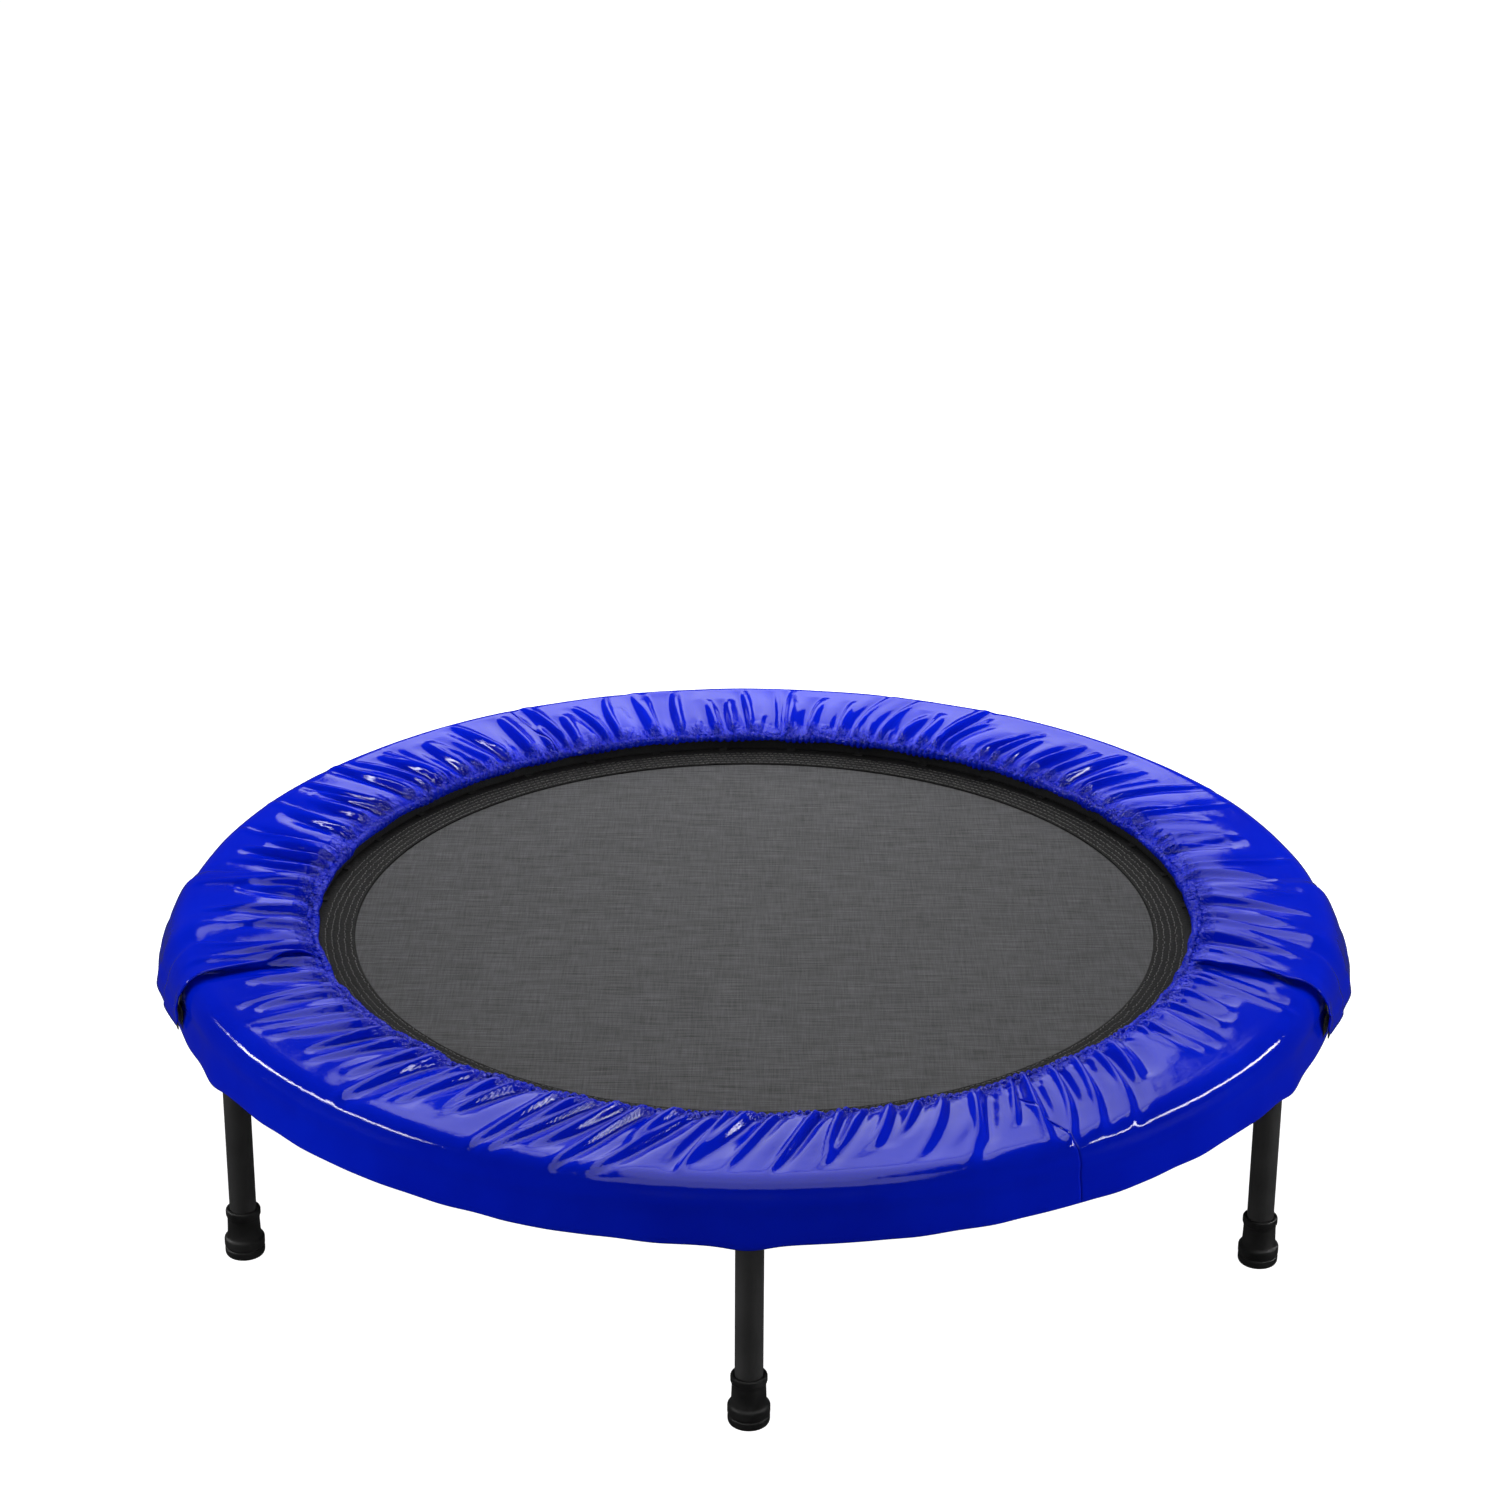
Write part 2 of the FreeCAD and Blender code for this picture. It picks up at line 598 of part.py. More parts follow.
def cover(half, side):
    """Vinyl skin, foam inside it, and an elastic in each of its two edges."""
    rim, wall = "Size.cover_outer - Size.cover_rim", "Size.cover_outer"
    bevel = "Size.rim_bevel"
    hem = "Size.cover_inner + 3 * Size.skin"
    skin = [
        (hem, "Size.cover_inner_low_z - Size.skin"),
        ("Size.cover_inner", "Size.cover_inner_low_z + Size.skin"),
        ("Size.cover_inner", "Size.cover_inner_top_z - 2 * Size.skin"),
        (hem, "Size.cover_inner_top_z"),
        (rim, "Size.cover_top_z"),
        (f"{wall} - {bevel}", f"Size.cover_top_z - {bevel}"),
        (wall, "Size.cover_top_z - Size.cover_rim"),
        (wall, "Size.cover_low_z"),
        (f"{wall} - Size.skin", "Size.cover_low_z"),
        (f"{wall} - Size.skin", "Size.cover_top_z - Size.cover_rim"),
        (f"{wall} - {bevel} - Size.skin", f"Size.cover_top_z - {bevel} - Size.skin"),
        (rim, "Size.cover_top_z - Size.skin"),
        (hem, "Size.cover_inner_top_z - Size.skin"),
        ("Size.cover_inner + Size.skin", "Size.cover_inner_top_z - 3 * Size.skin"),
        ("Size.cover_inner + Size.skin", "Size.cover_inner_low_z + Size.skin"),
        (hem, "Size.cover_inner_low_z"),
    ]
    body = half_ring(f"cover_skin_{half}", side, skin, "Size.cover_gap")
    notch(body, half, side)
    face = "(Size.skin + Size.skin_gap)"
    slope = "(Size.cover_top_z - Size.cover_inner_top_z) / (Size.cover_outer - Size.cover_inner)"
    inner_top = f"Size.cover_inner_top_z + (Size.foam_inner - Size.cover_inner) * {slope}"
    foam = [
        ("Size.foam_inner", "Size.cover_inner_low_z"),
        ("Size.foam_inner", f"{inner_top} - {face}"),
        (rim, f"Size.cover_top_z - {face}"),
        (f"{wall} - {bevel} - {face}", f"Size.cover_top_z - {bevel} - {face}"),
        (f"{wall} - {face}", f"Size.cover_top_z - Size.cover_rim - {face}"),
        (f"{wall} - {face}", "Size.cover_low_z"),
        ("Size.foam_wall_inner", "Size.cover_low_z"),
        ("Size.foam_wall_inner", "Size.foam_low_z"),
        ("Size.notch_x", "Size.foam_low_z"),
    ]
    body = half_ring(f"cover_foam_{half}", side, foam, "Size.cover_gap")
    notch(body, half, side)
    half_cord(
        f"inner_elastic_{half}",
        side,
        "Size.inner_elastic_circle",
        "Size.inner_elastic_z",
        "Size.elastic_radius",
        "Size.cover_gap",
    )
    half_cord(
        f"hem_elastic_{half}",
        side,
        "Size.hem_elastic_circle",
        "Size.hem_elastic_z",
        "Size.elastic_radius",
        "Size.flap_rear",
    )


def side_sector(label, name, points, middle, span):
    """A profile turned through span degrees; middle is its bearing in front of the fold line."""
    bearing = f"-({middle})" if name == "right" else f"180 + {middle}"
    body = new_body(label, angle=bearing)
    sketch = new_sketch(body, f"{label}_profile", "XZ_Plane")
    add_polygon(sketch, points)
    revolve(body, sketch, span)
    return body


def flap_line(out):
    """The flap's section as a line, moved outwards by the given distance."""
    return [
        ("Size.flap_inner", f"Size.flap_inner_z + {out}"),
        ("Size.flap_shoulder", f"Size.flap_shoulder_z + {out}"),
        (f"Size.flap_corner + {out}", f"Size.flap_corner_z + ({out}) / 2"),
        (f"Size.flap_hem + {out}", "Size.flap_hem_z"),
    ]


def upright(radius, thickness):
    """The section of a strip that stands against the cover's wall."""
    low, top = "Size.cover_low_z", "Size.cover_low_z + Size.tab_height"
    outer = f"{radius} + {thickness}"
    return [(radius, low), (outer, low), (outer, top), (radius, top)]


def flap(name):
    """Vinyl flap with its foam lining, the hook tab at its free corner and the patch it grips."""
    lining, whole = "Size.flap_lining", "Size.flap_lining + Size.flap_skin"
    middle = "(Size.flap_front - Size.flap_rear) / 2"
    span = "Size.flap_front + Size.flap_rear"
    inside, between, outside = flap_line("0"), flap_line(lining), flap_line(whole)
    side_sector(f"flap_skin_{name}", name, between + outside[::-1], middle, span)
    side_sector(f"flap_lining_{name}", name, inside + between[::-1], middle, span)
    tab = upright("Size.tab_circle", "Size.tab_thick")
    tab_middle = "Size.flap_front + Size.tab_overhang - Size.tab_angle / 2"
    side_sector(f"flap_tab_{name}", name, tab, tab_middle, "Size.tab_angle")
    patch = upright("Size.cover_outer", "Size.patch_thick")
    patch_middle = "Size.flap_front - Size.tab_angle / 2"
    side_sector(f"cover_patch_{name}", name, patch, patch_middle, "Size.tab_angle")


for half_name, half_side in HALVES.items():
    frame_tube(half_name, half_side)
    leg_mounts(half_name)
    mat(half_name, half_side)
    wire_rings(half_name)
    ring_loops(half_name)
    springs(half_name)
    cover(half_name, half_side)
for side_name, side_sign in SIDES.items():
    hinge_channel(side_name, side_sign)
    hinge_yoke(side_name, side_sign)
    pivot_hardware(side_name, side_sign)
    flap(side_name)
pivot_washers()
for half_name, leg_names in LEGS.items():
    for order, leg_name in enumerate(leg_names):
        step = "Size.leg_span / (Size.legs_per_half - 1)"
        leg(leg_name, half_angle(half_name, f"Size.leg_first + {order} * {step}"))
doc.recompute()

for item in doc.Objects:
    assert not {"Invalid", "Error"} & set(item.State), f"{item.Label}: {item.State}"
sub_parts = [o for o in doc.Objects if o.TypeId == "PartDesign::Body"]
for body in sub_parts:
    assert not body.Shape.isNull() and body.Shape.isValid(), body.Label
for body in sub_parts:
    body.Shape.exportStep(f"parts/{body.Label}.step")
    box = body.Shape.BoundBox
    solids = len(body.Shape.Solids)
    extent = f"{box.XLength:.1f} x {box.YLength:.1f} x {box.ZLength:.1f}"
    print(f"{body.Label}: {solids} solids, {body.Shape.Volume / 1000:.1f} cm3, {extent}")
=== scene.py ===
import math

import bpy
import numpy as np
from mathutils import Matrix, Vector


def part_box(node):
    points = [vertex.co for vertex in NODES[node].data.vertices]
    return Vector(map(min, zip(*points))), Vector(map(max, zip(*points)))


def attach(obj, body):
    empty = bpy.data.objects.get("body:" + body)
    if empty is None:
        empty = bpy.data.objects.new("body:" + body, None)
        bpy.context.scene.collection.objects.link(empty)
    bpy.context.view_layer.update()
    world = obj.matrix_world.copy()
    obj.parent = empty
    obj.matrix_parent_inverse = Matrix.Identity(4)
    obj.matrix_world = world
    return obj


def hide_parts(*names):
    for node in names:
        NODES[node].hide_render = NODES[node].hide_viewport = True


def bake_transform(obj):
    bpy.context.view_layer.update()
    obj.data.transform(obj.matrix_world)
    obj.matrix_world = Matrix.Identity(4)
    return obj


# Folding mini trampoline: the visible pieces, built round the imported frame.
# Metres, +Z up, -Y is the front.  Angles run anticlockwise from +X, seen from above.

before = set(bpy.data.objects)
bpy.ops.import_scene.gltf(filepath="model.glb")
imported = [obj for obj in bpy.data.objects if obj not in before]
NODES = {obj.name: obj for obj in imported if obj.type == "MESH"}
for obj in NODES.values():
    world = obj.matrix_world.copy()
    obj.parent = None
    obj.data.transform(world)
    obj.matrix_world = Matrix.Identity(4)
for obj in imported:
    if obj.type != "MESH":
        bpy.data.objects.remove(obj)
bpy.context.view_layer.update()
TAU = 2 * math.pi
rng = np.random.default_rng(11)

# ------------------------------------------------------------------ sizes

COVER_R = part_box("cover_skin_front")[1].x
COVER_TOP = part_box("cover_skin_front")[1].z
COVER_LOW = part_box("hem_elastic_front")[0].z - 0.0008  # just under the elastic in the hem
MAT_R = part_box("mat_front")[1].x
MAT_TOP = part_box("mat_front")[1].z
MAT_THICK = MAT_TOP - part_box("mat_front")[0].z
WEBBING_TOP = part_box("mat_edge_webbing_front")[1].z
TUBE_Z = (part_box("frame_tube_front")[0].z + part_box("frame_tube_front")[1].z) / 2
FLAP_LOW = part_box("flap_skin_left")[0].z
LEG_NAMES = {
    30: "rear_right",
    90: "rear",
    150: "rear_left",
    210: "front_left",
    270: "front",
    330: "front_right",
}

SKIN = 0.0009  # thickness of the vinyl
RIM = 0.021  # radius of the cover's rounded rim
SEAM_R = 0.3888  # where the cover's top is sewn to the elastic's casing
SEAM_Z = 0.2112
CASING_R, CASING_Z = 0.3854, 0.2086  # middle of the casing along the inner edge
CASING_RADIUS = 0.0046
BAND_R, BAND_THICK = 0.3862, 0.0010  # the elastic under the casing, which hangs down to the mat as a black strip of painted shade
BAND_LOW, BAND_HIGH = 0.1950, 0.2072
HEM_RADIUS = 0.0028
HEM_OUT = 0.0034  # how far the wall's foot stands out over the hem
SHOULDER = 0.0095  # how quickly the top rises from the seam
NOTCH_ANGLE = 5.0  # degrees to each side of the fold line
NOTCH_R = 0.457  # the cover and the foam are cut away outside this radius
FLAP_REAR = 5.0  # degrees behind the fold line
FOAM_INNER = 0.397
FOAM_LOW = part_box("cover_foam_front")[0].z
FOAM_UNDER = 0.2064
WEBBING_INNER = 0.350  # inner edge of the mat's strap


# ------------------------------------------------------------ mesh helpers


def smooth(t):
    """From 0 to 1, level at both ends."""
    t = np.clip(t, 0, 1)
    return t * t * (3 - 2 * t)


def make_mesh(name, points, faces, material):
    """An object from an (n, 3) array of points and an (m, 4) array of quads."""
    used, faces = np.unique(faces, return_inverse=True)
    faces = faces.reshape(-1, 4)
    mesh = bpy.data.meshes.new(name)
    mesh.vertices.add(len(used))
    mesh.vertices.foreach_set("co", points[used].astype(np.float32).ravel())
    mesh.loops.add(faces.size)
    mesh.loops.foreach_set("vertex_index", faces.astype(np.int32).ravel())
    mesh.polygons.add(len(faces))
    mesh.polygons.foreach_set("loop_start", np.arange(len(faces), dtype=np.int32) * 4)
    mesh.update(calc_edges=True)
    mesh.polygons.foreach_set("use_smooth", np.ones(len(faces), bool))
    mesh.materials.append(material)
    obj = bpy.data.objects.new(name, mesh)
    bpy.context.scene.collection.objects.link(obj)
    return obj


def grid_faces(rows, cols, close_rows=False, close_cols=False):
    """The quads of a grid of points, as an array of rows, columns and four corners."""
    index = np.arange(rows * cols).reshape(rows, cols)
    below, beside = np.roll(index, -1, 0), np.roll(index, -1, 1)
    quads = np.stack([index, below, np.roll(below, -1, 1), beside], -1)
    quads = quads if close_rows else quads[:-1]
    return quads if close_cols else quads[:, :-1]


def grid_mesh(name, points, material, close_rows=False, close_cols=False, keep=None):
    """An object from a grid of points; keep says which of its quads are used."""
    rows, cols = points.shape[:2]
    quads = grid_faces(rows, cols, close_rows, close_cols)
    quads = quads[keep] if keep is not None else quads.reshape(-1, 4)
    return make_mesh(name, points.reshape(-1, 3), quads, material)


def turned(radius, angle, height):
    """Points from radii, angles in radians and heights."""
    radius, angle, height = np.broadcast_arrays(radius, angle, height)
    return np.stack([radius * np.cos(angle), radius * np.sin(angle), height], -1)


def swung(points, angle, place=(0, 0, 0)):
    """Points turned about Z by an angle and then moved to a place."""
    c, s = math.cos(angle), math.sin(angle)
    x, y, z = points[..., 0], points[..., 1], points[..., 2]
    return np.stack([x * c - y * s + place[0], x * s + y * c + place[1], z + place[2]], -1)


def solidify(obj, thickness):
    """Thickness added below the surface."""
    change = obj.modifiers.new("thickness", "SOLIDIFY")
    change.thickness = thickness
    change.offset = -1.0


def apply_modifiers(obj):
    bpy.context.view_layer.update()
    graph = bpy.context.evaluated_depsgraph_get()
    mesh = bpy.data.meshes.new_from_object(obj.evaluated_get(graph))
    obj.modifiers.clear()
    obj.data = mesh


def rounded(corners, radius, steps=5):
    """A line through (r, z) corners, each inner corner rounded with an arc-like curve."""
    corners = [np.array(c, float) for c in corners]
    line = [corners[0]]
    for before, corner, after in zip(corners, corners[1:], corners[2:]):
        reach = min(
            radius,
            np.linalg.norm(before - corner) * 0.45,
            np.linalg.norm(after - corner) * 0.45,
        )
        start = corner + (before - corner) / np.linalg.norm(before - corner) * reach
        end = corner + (after - corner) / np.linalg.norm(after - corner) * reach
        for t in np.linspace(0, 1, steps):
            line.append((1 - t) ** 2 * start + 2 * t * (1 - t) * corner + t * t * end)
    line.append(corners[-1])
    return np.array(line)


def tube(path, radius, sides):
    """Rings of points round a path, without twist, as an array of rings, sides and 3."""
    path = np.asarray(path, float)
    ahead = np.gradient(path, axis=0)
    ahead /= np.linalg.norm(ahead, axis=1)[:, None]
    side = np.cross(ahead[0], (0.31, 0.72, 0.62))
    rings = []
    for point, along in zip(path, ahead):
        side = side - along * (side @ along)
        side /= np.linalg.norm(side)
        other = np.cross(along, side)
        turn = np.arange(sides)[:, None] * TAU / sides
        rings.append(point + radius * (np.cos(turn) * side + np.sin(turn) * other))
    return np.array(rings)


def hills(random, turn, across, cells_turn, cells_across):
    """Smooth random hills between -1 and 1; turn closes after 1, across runs from 0 to 1."""
    table = random.uniform(-1, 1, (cells_across + 2, cells_turn))
    u = (turn % 1) * cells_turn
    v = np.clip(across, 0, 1) * cells_across
    i, j = np.floor(u).astype(int), np.floor(v).astype(int)
    fu, fv = smooth(u - i), smooth(v - j)
    near, far = i % cells_turn, (i + 1) % cells_turn
    low = table[j, near] * (1 - fu) + table[j, far] * fu
    high = table[j + 1, near] * (1 - fu) + table[j + 1, far] * fu
    return low * (1 - fv) + high * fv


# --------------------------------------------------------------- materials


class Nodes:
    """A new material's node tree, with a short way to add and join nodes."""

    def __init__(self, name):
        self.material = bpy.data.materials.new(name)
        self.material.use_nodes = True
        self.tree = self.material.node_tree
        self.shader = self.tree.nodes["Principled BSDF"]
        self.place = self.add("ShaderNodeTexCoord").outputs["Object"]

    def add(self, kind, **settings):
        node = self.tree.nodes.new(kind)
        for key, value in settings.items():
            setattr(node, key, value)
        return node

    def link(self, source, target):
        self.tree.links.new(source, target)

    def set(self, **sockets):
        for name, value in sockets.items():
            self.shader.inputs[name.replace("_", " ")].default_value = value

    def stretched(self, scale):
        mapping = self.add("ShaderNodeMapping")
        self.link(self.place, mapping.inputs["Vector"])
        mapping.inputs["Scale"].default_value = scale
        return mapping.outputs["Vector"]

    def noise(self, scale, detail=3.0, vector=None, roughness=0.55):
        node = self.add("ShaderNodeTexNoise")
        self.link(vector or self.place, node.inputs["Vector"])
        node.inputs["Scale"].default_value = scale
        node.inputs["Detail"].default_value = detail
        node.inputs["Roughness"].default_value = roughness
        return node.outputs["Fac"]

    def cells(self, scale):
        node = self.add("ShaderNodeTexVoronoi", feature="F1")
        self.link(self.place, node.inputs["Vector"])
        node.inputs["Scale"].default_value = scale
        return node.outputs["Distance"]

    def waves(self, scale, direction, distortion=0.0):
        node = self.add("ShaderNodeTexWave", bands_direction=direction)
        self.link(self.place, node.inputs["Vector"])
        node.inputs["Scale"].default_value = scale
        node.inputs["Distortion"].default_value = distortion
        node.inputs["Detail"].default_value = 1.0
        return node.outputs["Fac"]

    def maths(self, operation, first, second):
        node = self.add("ShaderNodeMath", operation=operation)
        for socket, value in zip(node.inputs, (first, second)):
            if isinstance(value, (int, float)):
                socket.default_value = value
            else:
                self.link(value, socket)
        return node.outputs["Value"]

    def mixed(self, first, first_share, second, second_share):
        first = self.maths("MULTIPLY", first, first_share)
        return self.maths("ADD", first, self.maths("MULTIPLY", second, second_share))

    def ramp(self, source, low, high, start=0.0, end=1.0):
        """Colours from low to high as source goes from start to end."""
        node = self.add("ShaderNodeValToRGB")
        self.link(source, node.inputs["Fac"])
        first, last = node.color_ramp.elements
        first.position, last.position = start, end
        first.color, last.color = (*low, 1), (*high, 1)
        return node.outputs["Color"]

    def range(self, source, low, high, start=0.0, end=1.0):
        """Values from low to high as source goes from start to end."""
        node = self.add("ShaderNodeMapRange")
        self.link(source, node.inputs["Value"])
        limits = {"From Min": start, "From Max": end, "To Min": low, "To Max": high}
        for name, value in limits.items():
            node.inputs[name].default_value = value
        return node.outputs["Result"]

    def colour(self, source):
        self.link(source, self.shader.inputs["Base Color"])

    def rough(self, source):
        self.link(source, self.shader.inputs["Roughness"])

    def bump(self, source, distance, strength=1.0, under=None):
        node = self.add("ShaderNodeBump")
        self.link(source, node.inputs["Height"])
        node.inputs["Distance"].default_value = distance
        node.inputs["Strength"].default_value = strength
        if under is not None:
            self.link(under, node.inputs["Normal"])
        self.link(node.outputs["Normal"], self.shader.inputs["Normal"])
        return node.outputs["Normal"]


def grey(value, tint=(1, 1, 1)):
    """A linear grey, with each channel times its tint."""
    return tuple(value * share for share in tint)


def vinyl_material():
    """Glossy blue vinyl, lightly buckled all over and crumpled beside the gathered seam."""
    made = Nodes("blue_vinyl")
    made.set(IOR=1.36, Coat_Weight=0.0)
    patches = made.noise(9.0, 4.0)
    made.colour(made.ramp(patches, (0.0, 0.008, 0.49), (0.0, 0.013, 0.60), 0.3, 0.7))
    made.rough(made.range(made.noise(35.0, 5.0), 0.045, 0.10, 0.3, 0.75))
    buckle = made.bump(made.noise(70.0, 3.0), 0.0007, 0.3)
    split = made.add("ShaderNodeSeparateXYZ")
    made.link(made.place, split.inputs["Vector"])
    x, y, z = split.outputs
    squares = made.maths("ADD", made.maths("MULTIPLY", x, x), made.maths("MULTIPLY", y, y))
    radius = made.maths("SQRT", squares, 0.0)
    # The crumples run outwards, so their noise is in polar coordinates, drawn out along the radius.
    polar = made.add("ShaderNodeCombineXYZ")
    made.link(made.maths("MULTIPLY", made.maths("ARCTAN2", y, x), 0.39), polar.inputs["X"])
    made.link(made.maths("MULTIPLY", radius, 0.55), polar.inputs["Y"])
    made.link(z, polar.inputs["Z"])
    crumple = made.noise(330.0, 3.0, polar.outputs["Vector"], 0.6)
    by_seam = made.range(radius, 1.0, 0.0, 0.391, 0.403)
    gathers = made.bump(made.maths("MULTIPLY", crumple, by_seam), 0.0046, 1.0, buckle)
    made.bump(made.cells(1400.0), 0.00006, 0.25, gathers)
    return made.material


def foam_material():
    made = Nodes("white_foam")
    made.set(IOR=1.3)
    made.colour(made.ramp(made.noise(30.0, 5.0), grey(0.62), grey(0.82), 0.3, 0.7))
    made.rough(made.range(made.noise(120.0), 0.55, 0.8))
    dimples = made.bump(made.cells(330.0), 0.0009, 0.5)
    made.bump(made.noise(900.0, 2.0), 0.0002, 0.5, dimples)
    return made.material


def lining_material():
    """Foam-backed white cloth with small pressed dimples."""
    made = Nodes("white_lining")
    made.set(IOR=1.35)
    made.colour(made.ramp(made.noise(18.0, 5.0), grey(0.66), grey(0.86), 0.3, 0.7))
    made.rough(made.range(made.noise(60.0), 0.5, 0.75))
    quilt = made.bump(made.cells(210.0), 0.0012, 0.6)
    made.bump(made.noise(700.0, 3.0), 0.0003, 0.6, quilt)
    return made.material


def mat_material():
    """Woven mat: fine crossed threads, with threads of uneven brightness along both ways."""
    made = Nodes("woven_mat")
    made.set(IOR=1.28)
    across = made.noise(1.0, 2.0, made.stretched((30.0, 700.0, 1.0)))
    along = made.noise(1.0, 2.0, made.stretched((800.0, 34.0, 1.0)))
    cloudy = made.noise(2.2, 3.0)
    threads = made.mixed(across, 0.66, along, 0.34)
    shade = made.mixed(threads, 0.92, cloudy, 0.08)
    made.colour(made.ramp(shade, grey(0.024), grey(0.066, (1, 1, 1.06)), 0.34, 0.66))
    made.rough(made.range(threads, 0.66, 0.46, 0.3, 0.7))
    wefts = made.waves(230.0, "Y", 0.3)
    warps = made.waves(230.0, "X", 0.3)
    weave = made.bump(made.maths("MAXIMUM", wefts, warps), 0.0004, 0.5)
    made.bump(threads, 0.0007, 0.6, weave)
    return made.material


def webbing_material():
    """Black strap with ribs across it and a heathered surface."""
    made = Nodes("edge_webbing")
    made.set(IOR=1.26)
    fibres = made.noise(260.0, 4.0)
    made.colour(made.ramp(fibres, grey(0.003), grey(0.013, (1, 1, 0.96)), 0.3, 0.75))
    made.rough(made.range(fibres, 0.6, 0.9))
    ribs = made.bump(made.cells(620.0), 0.0006, 0.8)
    made.bump(made.noise(1500.0, 2.0), 0.0002, 0.6, ribs)
    return made.material


def elastic_material():
    """Black knitted elastic with fine upright ribs; the same black also paints the shade in the gap
    under the casing.
    """
    made = Nodes("black_elastic_and_shade")
    made.set(IOR=1.4)
    knit = made.noise(500.0, 3.0)
    made.colour(made.ramp(knit, grey(0.003), grey(0.012), 0.3, 0.75))
    made.rough(made.range(knit, 0.6, 0.9))
    made.bump(made.cells(900.0), 0.0005, 0.8)
    return made.material


def thread_material():
    made = Nodes("thread")
    made.set(IOR=1.45)
    twist = made.noise(900.0, 2.0)
    made.colour(made.ramp(twist, grey(0.03), grey(0.13, (1, 0.98, 0.92)), 0.35, 0.7))
    made.rough(made.range(twist, 0.4, 0.65))
    made.bump(twist, 0.0002, 0.5)
    return made.material


def powder_material():
    """Black powder coat with its orange peel and a few dull patches."""
    made = Nodes("black_powder_coat")
    made.set(IOR=1.45)
    patches = made.noise(14.0, 4.0)
    made.colour(made.ramp(patches, grey(0.024), grey(0.046), 0.3, 0.7))
    made.rough(made.range(made.noise(90.0, 4.0), 0.30, 0.48, 0.3, 0.7))
    peel = made.bump(made.noise(650.0, 2.0), 0.00025, 0.5)
    made.bump(made.noise(2400.0, 1.0), 0.00006, 0.4, peel)
    return made.material


def zinc_material():
    made = Nodes("zinc_plate")
    made.set(Metallic=1.0)
    spangle = made.noise(240.0, 4.0)
    made.colour(made.ramp(spangle, grey(0.34, (1, 1, 1.03)), grey(0.62, (1, 0.99, 0.95)), 0.3, 0.7))
    made.rough(made.range(made.noise(420.0, 3.0), 0.22, 0.45, 0.3, 0.7))
    made.bump(made.noise(1600.0, 2.0), 0.00008, 0.4)
    return made.material


def rubber_material():
    made = Nodes("black_rubber")
    made.set(IOR=1.45)
    bloom = made.noise(55.0, 5.0)
    made.colour(made.ramp(bloom, grey(0.007), grey(0.020), 0.35, 0.75))
    made.rough(made.range(bloom, 0.38, 0.6, 0.3, 0.7))
    made.bump(made.noise(1100.0, 3.0), 0.00018, 0.5)
    return made.material


def tape_material(name, scale, depth):
    """Hook or loop tape: a black pile."""
    made = Nodes(name)
    made.set(IOR=1.4, Sheen_Weight=0.4)
    pile = made.cells(scale)
    made.colour(made.ramp(pile, grey(0.03), grey(0.004), 0.1, 0.6))
    made.rough(made.range(made.noise(300.0), 0.7, 0.95))
    made.bump(pile, depth, 0.9)
    return made.material


VINYL = vinyl_material()
FOAM = foam_material()
LINING = lining_material()
MAT_CLOTH = mat_material()
WEBBING = webbing_material()
BLACK_ELASTIC_AND_SHADE = elastic_material()
THREAD = thread_material()
POWDER = powder_material()
ZINC = zinc_material()
RUBBER = rubber_material()
HOOKS = tape_material("hook_tape", 900.0, 0.0006)
LOOPS = tape_material("loop_tape", 1400.0, 0.0008)


# ------------------------------------------------- the cover's folds and rim

# How the folds lean away from the radius as they run outwards, clockwise, in degrees.
LEAN_AT = (0, 60, 90, 150, 180, 225, 270, 315, 360)
LEAN = (12, 2, -3, -2, 3, 10, 24, 20, 12)


def draw_folds(count, length, depth, width, spread):
    """Random folds that start at the casing's seam: start angle, lean, curl, and sizes."""
    start = (np.arange(count) + rng.uniform(-0.38, 0.38, count)) * TAU / count
    lean = np.interp(np.degrees(start) % 360, LEAN_AT, LEAN) + rng.normal(0, spread, count)
    return list(
        zip(
            start,
            np.radians(lean),
            np.radians(rng.uniform(-5, 12, count)),
            rng.uniform(*length, count),
            rng.uniform(*depth, count),
            rng.uniform(*width, count),
            np.where(rng.uniform(0, 1, count) < 0.72, 1.0, -1.0),
        )
    )


FOLDS = (
    draw_folds(118, (0.060, 0.116), (0.0036, 0.0074), (0.0054, 0.0098), 3)
    + draw_folds(150, (0.012, 0.036), (0.0010, 0.0028), (0.0018, 0.0036), 7)
    + draw_folds(46, (0.060, 0.100), (0.0008, 0.0018), (0.0090, 0.0150), 6)
)
FOLD_LIMIT = 0.0064  # the most that folds together raise or lower the vinyl
FOLD_SWEEP = 0.30  # radians to each side of its start that a fold can reach
TOP_REACH = COVER_R - RIM - SEAM_R  # from the seam to where the rim begins
PUCKERS = 372  # round the casing
PUCKER_SHIFT = hills(rng, np.linspace(0, 1, 720, endpoint=False), 0, 90, 1)
PUCKER_SIZE = hills(rng, np.linspace(0, 1, 720, endpoint=False), 0, 140, 1)


def pucker(angle, slant=0.0):
    """The casing's small puffs, 0 in each crease and 1 between creases."""
    turn = (angle / TAU) % 1 * len(PUCKER_SHIFT)
    at = np.arange(len(PUCKER_SHIFT) + 1)
    shift = np.interp(turn, at, np.append(PUCKER_SHIFT, PUCKER_SHIFT[0]))
    size = np.interp(turn, at, np.append(PUCKER_SIZE, PUCKER_SIZE[0]))
    wave = np.abs(np.sin(angle * PUCKERS / 2 + 1.7 * shift + slant)) ** 0.8
    return wave * (0.75 + 0.45 * size)


